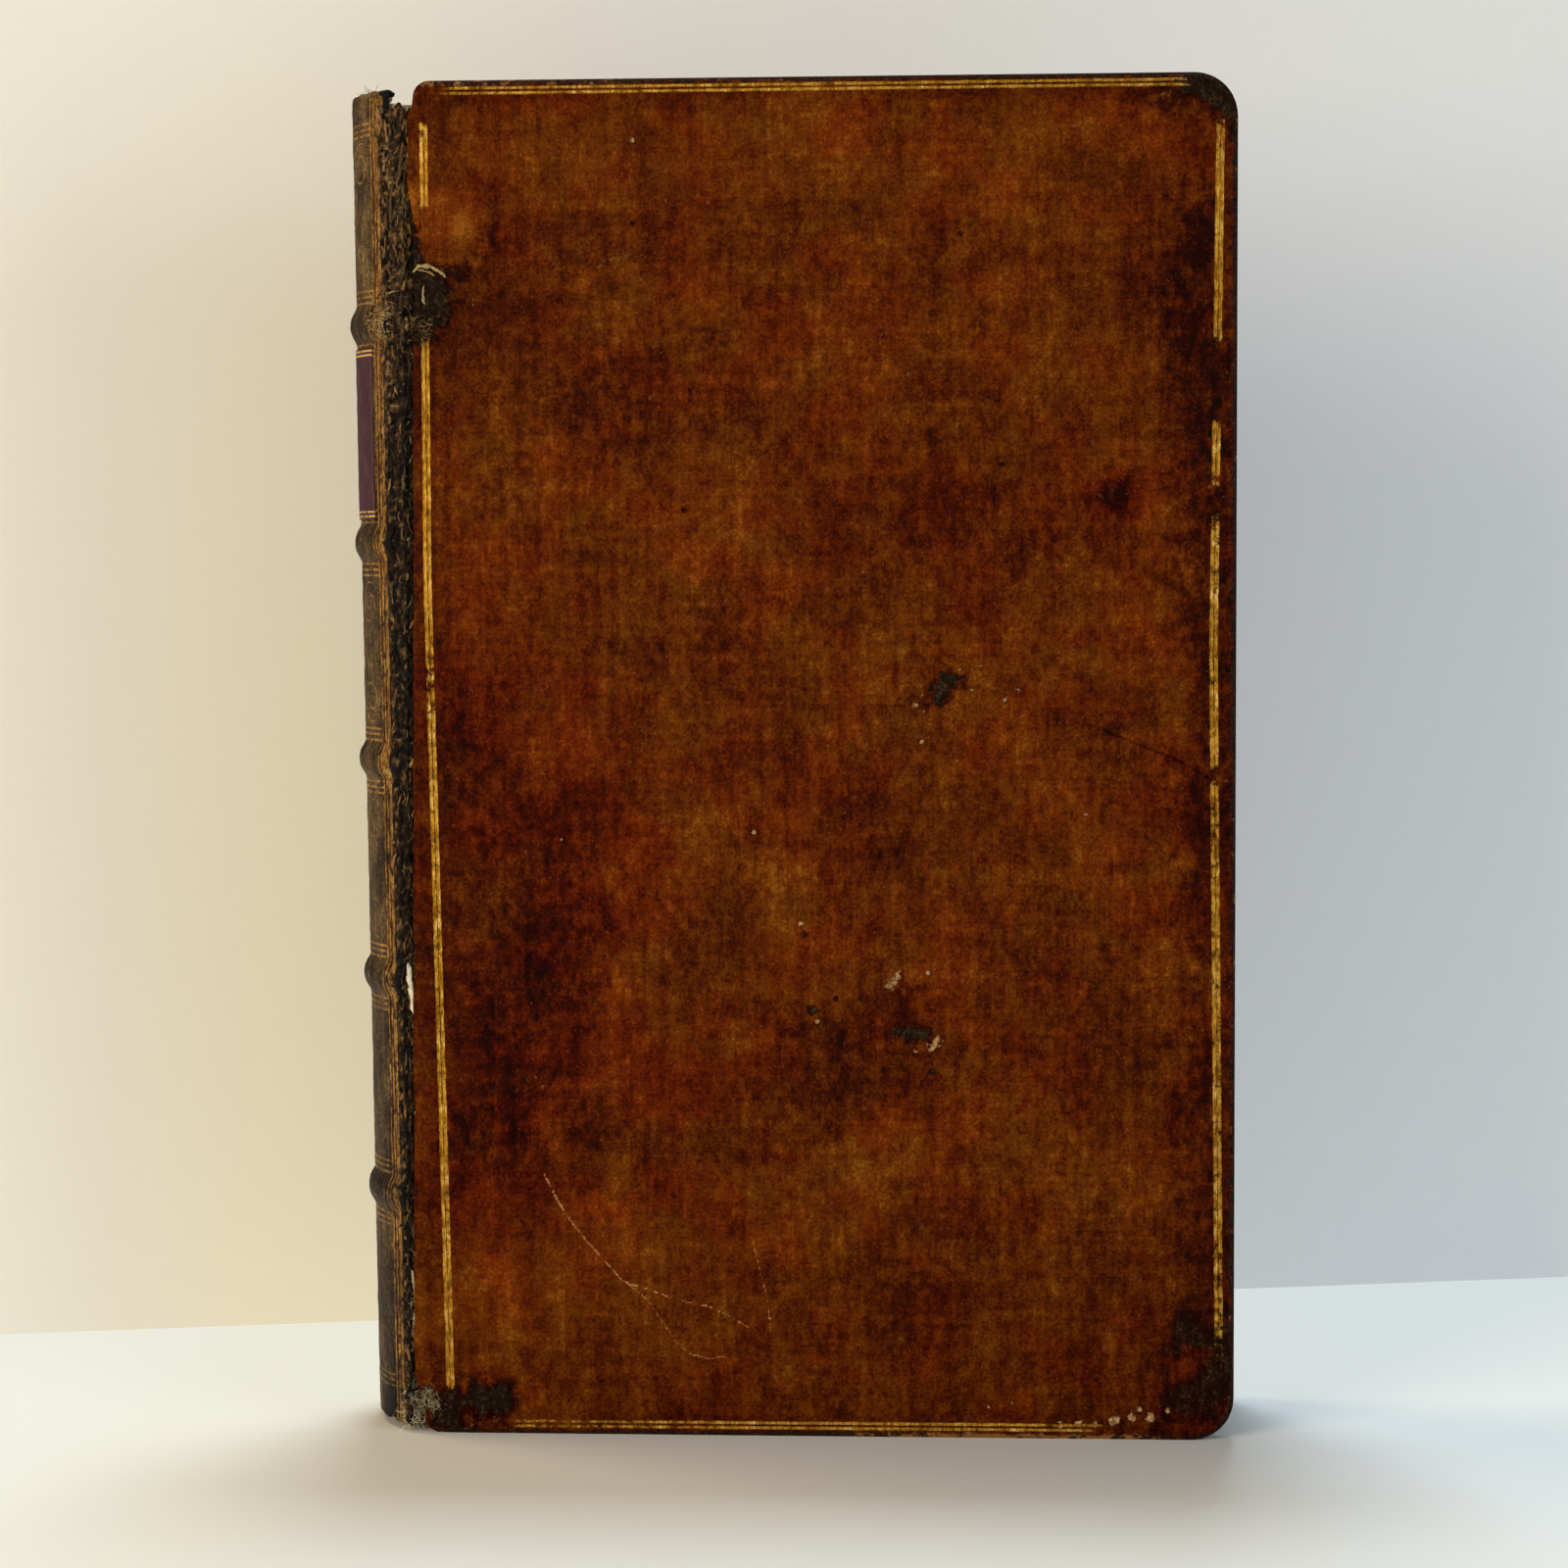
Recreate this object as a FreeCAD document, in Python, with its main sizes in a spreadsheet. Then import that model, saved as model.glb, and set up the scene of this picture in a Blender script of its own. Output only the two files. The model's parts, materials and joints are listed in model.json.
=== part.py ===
"""An old book in full calf, closed and standing on its tail edge.

The front cover faces -Y, the spine is at -X and the head is up. The origin is on the ground,
midway between the raised bands and the fore-edge and midway between the two covers.
"""

import FreeCAD, Part
import math
import os
import Sketcher

# Every size is in millimetres, apart from half angles and insets in degrees and the counts.
SIZES = {
    "board_height": 205.0,       # head to tail, over the leather
    "board_width": 123.0,        # joint to fore-edge, over the leather
    "book_thickness": 30.0,      # outside to outside of the two covers
    "corner_round": 6.5,         # worn fore-edge corners of the covers
    "back_corner": 2.0,          # small cut corners next to the joint
    "edge_round": 0.5,           # softened outer arris of the covers
    "cover_leather": 0.6,
    "paste_board": 2.6,
    "turn_leather": 0.4,         # pared leather turned over the inside
    "turn_width": 14.0,
    "pastedown_paper": 0.2,
    "flyleaf_paper": 0.25,
    "swing_gap": 0.35,           # air between a closed cover and the first leaf
    "glue_film": 0.04,
    "end_square": 3.2,           # how far the covers stand past the leaves at head and tail
    "fore_square": 4.0,          # and at the fore-edge
    "fore_hollow": 4.6,          # depth of the hollow fore-edge
    "joint_width": 2.6,          # cracked joint between spine leather and front cover
    "joint_step": 0.4,           # how far the spine leather's edge lies below the cover's face
    "hinge_slit": 0.4,           # slit at the sound rear joint
    "shoulder_gap": 0.5,         # from the leaves' shoulder to the cover
    "spine_bulge": 7.0,          # rise of the round spine above its two edges
    "spine_wall": 0.7,           # leather on the spine
    "lining_paper": 0.2,
    "cord_width": 3.2,
    "cord_height": 1.2,
    "cord_shoulder": 0.82,       # half a pressed cord's width halfway up, as a share of its foot
    "cord_crown": 0.3,           # and at its flat crown
    "band_count": 5.0,
    "band_pitch": 33.15,
    "band_middle": 102.8,        # height of the middle band
    "band_skirt": 0.8,           # leather drawn down beside a cord
    "band_clear": 0.1,           # how far a band's ends stay below the faces of the covers
    "cap_reach": 2.6,            # how far a headcap turns in over the endband
    "cap_wall": 0.9,
    "cap_round": 0.9,
    "endband_core": 2.0,
    "endband_bevel": 0.55,       # softened corners of its core
    "endband_inset": 3.0,        # angle by which an endband stops short of the joints
    "lining_inset": 1.0,         # angle by which the lining stops short of them
    "cord_inset": 1.0,           # and a cord of its band's ends
    "hollow_inset": 0.5,         # and the hollow over the cord
    "label_height": 26.4,        # on the panel below the highest band
    "label_skin": 0.25,
    "label_half_turn": 38.0,     # half the angle that the label spans round the spine
    "slip_reach": 9.0,           # how far a cord runs over the board before its hole
    "slip_thick": 0.9,
    "slip_plug": 2.4,            # the cord's diameter where it goes through the board
    "slip_slack": 0.1,           # clearance round a slip in its channel and hole
    "rule_width": 0.5,           # one tooled line
    "rule_space": 0.5,
    "rule_depth": 0.12,
    "rule_from_side": 2.4,       # tooled frame to the cover's long edges
    "rule_from_end": 1.2,        # tooled frame to its head and tail
    "rule_from_band": 1.3,
}

FRONT = -1
BACK = 1

doc = FreeCAD.newDocument("antique_leather_book")


def make_sheet():
    """The spreadsheet that holds the driving sizes."""
    sheet = doc.addObject("Spreadsheet::Sheet", "Sizes")
    for row, (name, value) in enumerate(SIZES.items(), start=1):
        sheet.set(f"A{row}", name)
        sheet.set(f"B{row}", str(value))
        sheet.setAlias(f"B{row}", name)
    doc.recompute()
    return sheet


SHEET = make_sheet()


def number(expression):
    """The present value of an expression, in millimetres or degrees."""
    value = SHEET.evalExpression(expression)
    return float(getattr(value, "Value", value))


# Shared places, as expressions over the sheet.
HALF_BOOK = "Sizes.book_thickness / 2"
BAND_RISE = "(Sizes.cord_height - Sizes.lining_paper)"
JOINT_X = (
    f"(-(Sizes.board_width - Sizes.joint_width - Sizes.spine_bulge - {BAND_RISE}) / 2)"
)
FORE_X = f"({JOINT_X} + Sizes.board_width)"
LEAF_FORE_X = f"({FORE_X} - Sizes.fore_square)"
SPINE_EDGE_X = f"({JOINT_X} - Sizes.joint_width)"
SPINE_EDGE_Y = f"({HALF_BOOK} - Sizes.joint_step)"
SPINE_R = f"(({SPINE_EDGE_Y} ^ 2 + Sizes.spine_bulge ^ 2) / (2 * Sizes.spine_bulge))"
SPINE_X = f"({SPINE_EDGE_X} - Sizes.spine_bulge + {SPINE_R})"
SPINE_TURN = f"(asin({SPINE_EDGE_Y} / {SPINE_R}) / 1 deg)"
BAND_TURN = f"(asin(({HALF_BOOK} - Sizes.band_clear) / ({SPINE_R} + {BAND_RISE})) / 1 deg)"
WALL_IN_R = f"({SPINE_R} - Sizes.spine_wall)"
LINING_OUT_R = f"({WALL_IN_R} - Sizes.glue_film)"
LINING_IN_R = f"({LINING_OUT_R} - Sizes.lining_paper)"
LEAF_R = f"({LINING_IN_R} - Sizes.glue_film)"
TIP_Y = f"({HALF_BOOK} - Sizes.spine_wall - Sizes.lining_paper - 2 * Sizes.glue_film)"
TIP_X = f"({SPINE_X} - sqrt({LEAF_R} ^ 2 - {TIP_Y} ^ 2))"
LEAF_LOW = "Sizes.end_square"
LEAF_HIGH = "(Sizes.board_height - Sizes.end_square)"

# Depths below a cover's outer face.
BOARD_DEPTH = "(Sizes.cover_leather + Sizes.glue_film)"
TURN_DEPTH = f"({BOARD_DEPTH} + Sizes.paste_board + Sizes.glue_film)"
PAPER_DEPTH = f"({TURN_DEPTH} + Sizes.turn_leather + Sizes.glue_film)"
FLYLEAF_DEPTH = f"({PAPER_DEPTH} + Sizes.pastedown_paper + Sizes.swing_gap)"
LEAF_DEPTH = f"({FLYLEAF_DEPTH} + Sizes.flyleaf_paper + Sizes.glue_film)"
LEAF_HALF = f"({HALF_BOOK} - {LEAF_DEPTH})"

FIRST_BAND_Z = "(Sizes.band_middle - Sizes.band_pitch * (Sizes.band_count - 1) / 2)"
BAND_SPAN = "(Sizes.band_pitch * (Sizes.band_count - 1))"
BAND_HALF = "(Sizes.cord_width / 2 + Sizes.band_skirt)"
LABEL_PANEL = "(Sizes.band_count - 1.5)"  # halfway between the two highest bands


def band_z(index):
    """Height of one raised band, counted from the tail, or of a place between two of them."""
    return f"({FIRST_BAND_Z} + {index} * Sizes.band_pitch)"


def new_body(label):
    """An empty body whose label names its file."""
    body = doc.addObject("PartDesign::Body", label)
    body.Label = label
    return body


def new_sketch(body, name, plane, offsets=()):
    """A sketch on one of the body's own origin planes, moved by expressions."""
    sketch = body.newObject("Sketcher::SketchObject", name)
    support = [f for f in body.Origin.OriginFeatures if f.Role == plane][0]
    sketch.AttachmentSupport = (support, [""])
    sketch.MapMode = "FlatFace"
    for way, expression in offsets:
        sketch.setExpression(f"AttachmentOffset.Base.{way}", expression)
    doc.recompute()
    return sketch


def cover_sketch(body, name, side, depth):
    """A sketch parallel to a cover, at a depth below its outer face."""
    return new_sketch(body, name, "XZ_Plane", [("z", f"{-side} * ({HALF_BOOK} - {depth})")])


def spine_sketch(body, name):
    """A sketch in the middle plane whose vertical axis is the round spine's axis."""
    return new_sketch(body, name, "XZ_Plane", [("x", SPINE_X)])


def arc_between(start, end, radius, turn):
    """The short arc from start to end that turns left or right."""
    chord = end - start
    rise = math.sqrt(max(radius**2 - (chord.Length / 2) ** 2, 0))
    side = 1 if turn == "left" else -1
    normal = FreeCAD.Vector(-chord.y, chord.x, 0).normalize()
    centre = (start + end) * 0.5 + normal * rise * side
    first, last = (start, end) if turn == "left" else (end, start)
    begin = math.atan2(first.y - centre.y, first.x - centre.x)
    finish = math.atan2(last.y - centre.y, last.x - centre.x)
    if finish < begin:
        finish += 2 * math.pi
    circle = Part.Circle(centre, FreeCAD.Vector(0, 0, 1), radius)
    return Part.ArcOfCircle(circle, begin, finish)


def bind(sketch, constraint, expression, name):
    """Adds a constraint whose value follows an expression."""
    index = sketch.addConstraint(constraint)
    sketch.renameConstraint(index, name)
    sketch.setExpression(f"Constraints.{name}", expression)


def draw(sketch, points):
    """Draws a closed outline.

    Each point is (x, y), or (x, y, radius, turn) where the stretch that leaves it is an arc.
    """
    begin = len(sketch.Geometry)
    spots = [FreeCAD.Vector(number(p[0]), number(p[1]), 0) for p in points]
    heads, tails = [], []
    for i, point in enumerate(points):
        start, end = spots[i], spots[(i + 1) % len(points)]
        if len(point) == 2:
            index = sketch.addGeometry(Part.LineSegment(start, end), False)
        else:
            arc = arc_between(start, end, number(point[2]), point[3])
            index = sketch.addGeometry(arc, False)
            bind(sketch, Sketcher.Constraint("Radius", index, arc.Radius), point[2], f"r{index}")
        backwards = len(point) == 4 and point[3] == "right"
        heads.append((index, 2 if backwards else 1))
        tails.append((index, 1 if backwards else 2))
    for i in range(len(points)):
        following = heads[(i + 1) % len(points)]
        sketch.addConstraint(Sketcher.Constraint("Coincident", *tails[i], *following))
    for i, point in enumerate(points):
        across = Sketcher.Constraint("DistanceX", -1, 1, *heads[i], spots[i].x)
        bind(sketch, across, point[0], f"x{begin + i}")
        up = Sketcher.Constraint("DistanceY", -1, 1, *heads[i], spots[i].y)
        bind(sketch, up, point[1], f"y{begin + i}")
    doc.recompute()


def rectangle(left, low, right, high):
    """The four corners of an upright rectangle."""
    return [(left, low), (right, low), (right, high), (left, high)]


def pad(body, sketch, length, reverse=False):
    """A pad along the sketch's normal, or against it."""
    feature = body.newObject("PartDesign::Pad", sketch.Name + "_pad")
    feature.Profile = sketch
    feature.Reversed = reverse
    feature.setExpression("Length", length)
    sketch.Visibility = False
    doc.recompute()
    return feature


def pocket(body, sketch, length, reverse=False):
    """A pocket, which has to remove material."""
    before = body.Shape.Volume
    feature = body.newObject("PartDesign::Pocket", sketch.Name + "_pocket")
    feature.Profile = sketch
    feature.Reversed = reverse
    feature.setExpression("Length", length)
    sketch.Visibility = False
    doc.recompute()
    if body.Shape.Volume >= before:
        raise RuntimeError(f"{feature.Name} cuts nothing")
    return feature


def turn(body, sketch, half_angle, kind="Revolution"):
    """A revolution or groove about the sketch's vertical axis, the same angle to both sides."""
    feature = body.newObject(f"PartDesign::{kind}", f"{sketch.Name}_{kind.lower()}")
    feature.Profile = sketch
    feature.ReferenceAxis = (sketch, ["V_Axis"])
    feature.Midplane = True
    feature.setExpression("Angle", f"2 * ({half_angle})")
    sketch.Visibility = False
    doc.recompute()
    return feature


def groove(body, sketch, half_angle):
    """A groove about the spine's axis, which has to remove material."""
    before = body.Shape.Volume
    feature = turn(body, sketch, half_angle, "Groove")
    if body.Shape.Volume >= before:
        raise RuntimeError(f"{feature.Name} cuts nothing")
    return feature


def at_every_band(body, feature):
    """Repeats a feature of the lowest band at every band."""
    axis = [f for f in body.Origin.OriginFeatures if f.Role == "Z_Axis"][0]
    pattern = body.newObject("PartDesign::LinearPattern", feature.Name + "_bands")
    pattern.Originals = [feature]
    pattern.Direction = (axis, [""])
    pattern.setExpression("Length", BAND_SPAN)
    pattern.setExpression("Occurrences", "Sizes.band_count")
    body.Tip = pattern
    doc.recompute()
    return pattern


def cover_outline(inset):
    """The cover's outline, drawn in by an inset: two round corners and two cut ones."""
    left, right = f"({JOINT_X} + {inset})", f"({FORE_X} - {inset})"
    low, high = f"({inset})", f"(Sizes.board_height - {inset})"
    near = f"(Sizes.back_corner - {inset} * (2 - sqrt(2)))"
    far = f"(Sizes.corner_round - {inset})"
    return [
        (left, f"{low} + {near}"),
        (f"{left} + {near}", low),
        (f"{right} - {far}", low, far, "left"),
        (right, f"{low} + {far}"),
        (right, f"{high} - {far}", far, "left"),
        (f"{right} - {far}", high),
        (f"{left} + {near}", high),
        (left, f"{high} - {near}"),
    ]


def reversed_arcs(points):
    """The same open run of points the other way round, with its arcs turning right."""
    back = []
    for i in range(len(points) - 1, -1, -1):
        leaving = points[i - 1] if i else ()
        arc = (leaving[2], "right") if len(leaving) == 4 else ()
        back.append((points[i][0], points[i][1], *arc))
    return back


def soften_rim(body, name, outer_y):
    """Rounds the outer arris of a cover's face, apart from its joint edge."""
    rims = [
        f"Edge{i}"
        for i, edge in enumerate(body.Shape.Edges, start=1)
        if all(abs(v.Y - outer_y) < 1e-6 for v in edge.Vertexes)
        and edge.CenterOfMass.x > number(JOINT_X) + 1e-6
    ]
    base = body.Tip
    softened = body.newObject("PartDesign::Fillet", name)
    softened.Base = (base, rims)
    softened.setExpression("Radius", "Sizes.edge_round")
    body.Tip = softened
    doc.recompute()


def make_cover_leather(label, side):
    """Calf over one board: the face, the three edges and the turn-ins, open towards the joint."""
    body = new_body(label)
    inward = side == FRONT
    face = cover_sketch(body, f"{label}_face", side, "0")
    draw(face, cover_outline("0"))
    pad(body, face, "Sizes.cover_leather", inward)
    soften_rim(body, f"{label}_arris", side * number(HALF_BOOK))

    edges = cover_sketch(body, f"{label}_edges", side, "Sizes.cover_leather")
    draw(edges, cover_outline("0") + reversed_arcs(cover_outline("Sizes.cover_leather")))
    pad(body, edges, f"{TURN_DEPTH} - Sizes.cover_leather", inward)

    turns = cover_sketch(body, f"{label}_turns", side, TURN_DEPTH)
    width = "Sizes.turn_width"
    window = [
        (JOINT_X, f"Sizes.board_height - {width}"),
        (f"{FORE_X} - {width}", f"Sizes.board_height - {width}"),
        (f"{FORE_X} - {width}", width),
        (JOINT_X, width),
    ]
    draw(turns, cover_outline("0") + window)
    pad(body, turns, "Sizes.turn_leather", inward)

    rules = cover_sketch(body, f"{label}_rules", side, "0")
    step = "(Sizes.rule_width + Sizes.rule_space)"
    for line in range(2):
        for rim in range(2):
            extra = f"({line} * {step} + {rim} * Sizes.rule_width)"
            draw(
                rules,
                rectangle(
                    f"{JOINT_X} + Sizes.rule_from_side + {extra}",
                    f"Sizes.rule_from_end + {extra}",
                    f"{FORE_X} - Sizes.rule_from_side - {extra}",
                    f"Sizes.board_height - Sizes.rule_from_end - {extra}",
                ),
            )
    pocket(body, rules, "Sizes.rule_depth", not inward)
    return body


def make_board(label, side):
    """Pasteboard with a channel and a hole for each cord."""
    body = new_body(label)
    inward = side == FRONT
    inset = BOARD_DEPTH
    sheet = cover_sketch(body, f"{label}_sheet", side, BOARD_DEPTH)
    draw(sheet, cover_outline(inset))
    pad(body, sheet, "Sizes.paste_board", inward)

    left = f"{JOINT_X} + {inset}"
    half = "(Sizes.cord_width / 2 + Sizes.slip_slack)"
    hole_x = f"({left} + Sizes.slip_reach)"
    channel = cover_sketch(body, f"{label}_channel", side, BOARD_DEPTH)
    draw(channel, rectangle(left, f"{FIRST_BAND_Z} - {half}", hole_x, f"{FIRST_BAND_Z} + {half}"))
    at_every_band(
        body, pocket(body, channel, "Sizes.slip_thick + Sizes.slip_slack", not inward)
    )

    hole = cover_sketch(body, f"{label}_hole", side, BOARD_DEPTH)
    circle_of(hole, hole_x, FIRST_BAND_Z, "(Sizes.slip_plug / 2 + Sizes.slip_slack)")
    at_every_band(body, pocket(body, hole, "Sizes.paste_board", not inward))
    return body


def circle_of(sketch, x, y, radius):
    """Draws a circle whose place and radius follow expressions."""
    centre = FreeCAD.Vector(number(x), number(y), 0)
    circle = Part.Circle(centre, FreeCAD.Vector(0, 0, 1), number(radius))
    index = sketch.addGeometry(circle, False)
    bind(sketch, Sketcher.Constraint("DistanceX", -1, 1, index, 3, centre.x), x, f"x{index}")
    bind(sketch, Sketcher.Constraint("DistanceY", -1, 1, index, 3, centre.y), y, f"y{index}")
    bind(sketch, Sketcher.Constraint("Radius", index, circle.Radius), radius, f"r{index}")
    doc.recompute()


def make_slips(label, side):
    """The five cord ends laced into a board: a flat run in its channel and a plug in its hole."""
    body = new_body(label)
    inward = side == FRONT
    left = f"{JOINT_X} + {BOARD_DEPTH}"
    half = "Sizes.cord_width / 2"
    hole_x = f"({left} + Sizes.slip_reach)"
    run = cover_sketch(body, f"{label}_run", side, BOARD_DEPTH)
    end_x = f"{hole_x} - Sizes.slip_slack"
    draw(run, rectangle(left, f"{FIRST_BAND_Z} - {half}", end_x, f"{FIRST_BAND_Z} + {half}"))
    run_pad = pad(body, run, "Sizes.slip_thick", inward)
    at_every_band(body, run_pad)

    plug = cover_sketch(body, f"{label}_plug", side, BOARD_DEPTH)
    circle_of(plug, hole_x, FIRST_BAND_Z, "Sizes.slip_plug / 2")
    at_every_band(body, pad(body, plug, "Sizes.paste_board", inward))
    return body


def make_pastedown(label, side):
    """Paper on the inside of a board: a sheet over the turn-ins, filled out between them."""
    body = new_body(label)
    inward = side == FRONT
    left = f"{JOINT_X} + Sizes.hinge_slit"
    film = "Sizes.glue_film"
    window = f"(Sizes.turn_width + {film})"
    filling = cover_sketch(body, f"{label}_filling", side, TURN_DEPTH)
    corners = rectangle(left, window, f"{FORE_X} - {window}", f"Sizes.board_height - {window}")
    draw(filling, corners)
    pad(body, filling, f"{PAPER_DEPTH} - {TURN_DEPTH}", inward)

    sheet = cover_sketch(body, f"{label}_sheet", side, PAPER_DEPTH)
    draw(sheet, rectangle(left, LEAF_LOW, LEAF_FORE_X, LEAF_HIGH))
    pad(body, sheet, "Sizes.pastedown_paper", inward)
    return body


def make_flyleaf(label, side):
    """The free endpaper that lies on the leaves."""
    body = new_body(label)
    leaf = cover_sketch(body, f"{label}_leaf", side, FLYLEAF_DEPTH)
    draw(leaf, rectangle(JOINT_X, LEAF_LOW, LEAF_FORE_X, LEAF_HIGH))
    pad(body, leaf, "Sizes.flyleaf_paper", side == FRONT)
    return body


def make_text_block():
    """The sewn leaves: a round back with two shoulders, and a hollow fore-edge."""
    body = new_body("text_block")
    plan = new_sketch(body, "leaves_plan", "XY_Plane", [("z", LEAF_LOW)])
    hollow_r = f"(({LEAF_HALF} ^ 2 + Sizes.fore_hollow ^ 2) / (2 * Sizes.fore_hollow))"
    foot_x = f"({JOINT_X} - Sizes.shoulder_gap)"
    draw(
        plan,
        [
            (LEAF_FORE_X, f"-1 * {LEAF_HALF}", hollow_r, "right"),
            (LEAF_FORE_X, LEAF_HALF),
            (foot_x, LEAF_HALF),
            (TIP_X, TIP_Y, LEAF_R, "left"),
            (TIP_X, f"-1 * {TIP_Y}"),
            (foot_x, f"-1 * {LEAF_HALF}"),
        ],
    )
    pad(body, plan, f"{LEAF_HIGH} - {LEAF_LOW}")
    return body


def make_lining():
    """Paper glued to the back between the cords."""
    body = new_body("spine_lining")
    profile = spine_sketch(body, "lining_panels")
    clear = "(Sizes.cord_width / 2 + Sizes.glue_film)"
    count = int(number("Sizes.band_count"))
    lows = [LEAF_LOW] + [f"({band_z(i)} + {clear})" for i in range(count)]
    highs = [f"({band_z(i)} - {clear})" for i in range(count)] + [LEAF_HIGH]
    for low, high in zip(lows, highs):
        draw(profile, rectangle(f"-1 * {LINING_OUT_R}", low, f"-1 * {LINING_IN_R}", high))
    turn(body, profile, f"{SPINE_TURN} - Sizes.lining_inset")
    return body


def bump(inner_r, half_width, rise, z):
    """A rounded ridge across the spine: a chord at inner_r and an arc that bulges outwards."""
    radius = f"(({half_width} ^ 2 + {rise} ^ 2) / (2 * {rise}))"
    return [
        (f"-1 * {inner_r}", f"{z} + {half_width}", radius, "left"),
        (f"-1 * {inner_r}", f"{z} - {half_width}"),
    ]


def pressed_bump(inner_r, half_width, rise, z):
    """A ridge across the spine with broken sides and a flat crown."""
    shoulder = f"({half_width} * Sizes.cord_shoulder)"
    crown = f"({half_width} * Sizes.cord_crown)"
    foot, top = f"-1 * {inner_r}", f"-1 * ({inner_r} + {rise})"
    halfway = f"-1 * ({inner_r} + {rise} / 2)"
    return [
        (foot, f"{z} + {half_width}"),
        (halfway, f"{z} + {shoulder}"),
        (top, f"{z} + {crown}"),
        (top, f"{z} - {crown}"),
        (halfway, f"{z} - {shoulder}"),
        (foot, f"{z} - {half_width}"),
    ]


def make_cord(index):
    """One sewing cord where it crosses the back, pressed flat between leaves and leather."""
    label = f"sewing_cord_{index + 1}"
    body = new_body(label)
    section = spine_sketch(body, f"{label}_section")
    seat = f"({LEAF_R} + Sizes.glue_film)"
    half = "(Sizes.cord_width / 2)"
    draw(section, pressed_bump(seat, half, "Sizes.cord_height", band_z(index)))
    turn(body, section, f"{BAND_TURN} - Sizes.cord_inset")
    return body


def make_endband(label, z):
    """A core of rolled paper, sewn to the leaves at one end of the back."""
    body = new_body(label)
    section = spine_sketch(body, f"{label}_section")
    half, bevel = "(Sizes.endband_core / 2)", "Sizes.endband_bevel"
    outer, inner = f"-1 * {LEAF_R}", f"-1 * ({LEAF_R} - Sizes.endband_core)"
    low, high = f"({z} - {half})", f"({z} + {half})"
    draw(
        section,
        [
            (f"{outer} + {bevel}", low),
            (f"{inner} - {bevel}", low),
            (inner, f"{low} + {bevel}"),
            (inner, f"{high} - {bevel}"),
            (f"{inner} - {bevel}", high),
            (f"{outer} + {bevel}", high),
            (outer, f"{high} - {bevel}"),
            (outer, f"{low} + {bevel}"),
        ],
    )
    turn(body, section, f"{SPINE_TURN} - Sizes.endband_inset")
    return body


def make_spine_leather():
    """Calf over the back, moulded over the cords and turned in at head and tail."""
    body = new_body("spine_leather")
    wall = spine_sketch(body, "spine_wall_profile")
    high = "Sizes.board_height"
    bend = "Sizes.cap_round"
    lip = f"-1 * ({WALL_IN_R} - Sizes.cap_reach)"
    outside, inside = f"-1 * {SPINE_R}", f"-1 * {WALL_IN_R}"
    draw(
        wall,
        [
            (lip, "0"),
            (lip, "Sizes.cap_wall"),
            (inside, "Sizes.cap_wall"),
            (inside, f"{high} - Sizes.cap_wall"),
            (lip, f"{high} - Sizes.cap_wall"),
            (lip, high),
            (f"{outside} + {bend}", high, bend, "left"),
            (outside, f"{high} - {bend}"),
            (outside, bend, bend, "left"),
            (f"{outside} + {bend}", "0"),
        ],
    )
    turn(body, wall, SPINE_TURN)

    ridge = spine_sketch(body, "spine_band_ridge")
    root = f"({SPINE_R} - Sizes.glue_film)"
    draw(ridge, bump(root, BAND_HALF, f"({BAND_RISE} + Sizes.glue_film)", FIRST_BAND_Z))
    at_every_band(body, turn(body, ridge, BAND_TURN))

    hollow = spine_sketch(body, "spine_cord_hollow")
    seat = f"({LEAF_R} + Sizes.glue_film)"
    half = "(Sizes.cord_width / 2 + 2 * Sizes.glue_film)"
    rise = "(Sizes.cord_height + 2 * Sizes.glue_film)"
    draw(hollow, bump(seat, half, rise, FIRST_BAND_Z))
    at_every_band(body, groove(body, hollow, f"{BAND_TURN} - Sizes.hollow_inset"))

    rules = spine_sketch(body, "spine_rules")
    step = "(Sizes.rule_width + Sizes.rule_space)"
    for way in (-1, 1):
        for line in range(2):
            near = f"({BAND_HALF} + Sizes.rule_from_band + {line} * {step})"
            ends = [f"{FIRST_BAND_Z} + {way} * {near}"]
            ends.append(f"{FIRST_BAND_Z} + {way} * ({near} + Sizes.rule_width)")
            low, high_end = ends[::way]
            deep = f"-1 * ({SPINE_R} - Sizes.rule_depth)"
            draw(rules, rectangle(f"{outside} - Sizes.rule_depth", low, deep, high_end))
    at_every_band(body, groove(body, rules, SPINE_TURN))

    joint = new_sketch(body, "rear_joint_lip", "XY_Plane")
    under_y = f"({HALF_BOOK} - Sizes.spine_wall)"
    inner_x = f"({SPINE_X} - {WALL_IN_R} * cos({SPINE_TURN}))"
    inner_y = f"({WALL_IN_R} * sin({SPINE_TURN}))"
    draw(
        joint,
        [
            (SPINE_EDGE_X, SPINE_EDGE_Y),
            (inner_x, inner_y),
            (f"{inner_x} + {under_y} - {inner_y}", under_y),
            (f"{JOINT_X} - Sizes.hinge_slit", under_y),
            (f"{JOINT_X} - Sizes.hinge_slit", HALF_BOOK),
            (f"{SPINE_EDGE_X} + Sizes.joint_step", HALF_BOOK),
        ],
    )
    pad(body, joint, high)
    return body


def make_label():
    """The lettering piece: a thin skin on the second panel from the head."""
    body = new_body("title_label")
    skin = spine_sketch(body, "label_skin_profile")
    low_r = f"({SPINE_R} + Sizes.glue_film)"
    half = "Sizes.label_height / 2"
    middle = band_z(LABEL_PANEL)
    draw(
        skin,
        rectangle(
            f"-1 * ({low_r} + Sizes.label_skin)",
            f"{middle} - {half}",
            f"-1 * {low_r}",
            f"{middle} + {half}",
        ),
    )
    turn(body, skin, "Sizes.label_half_turn")
    return body


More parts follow.
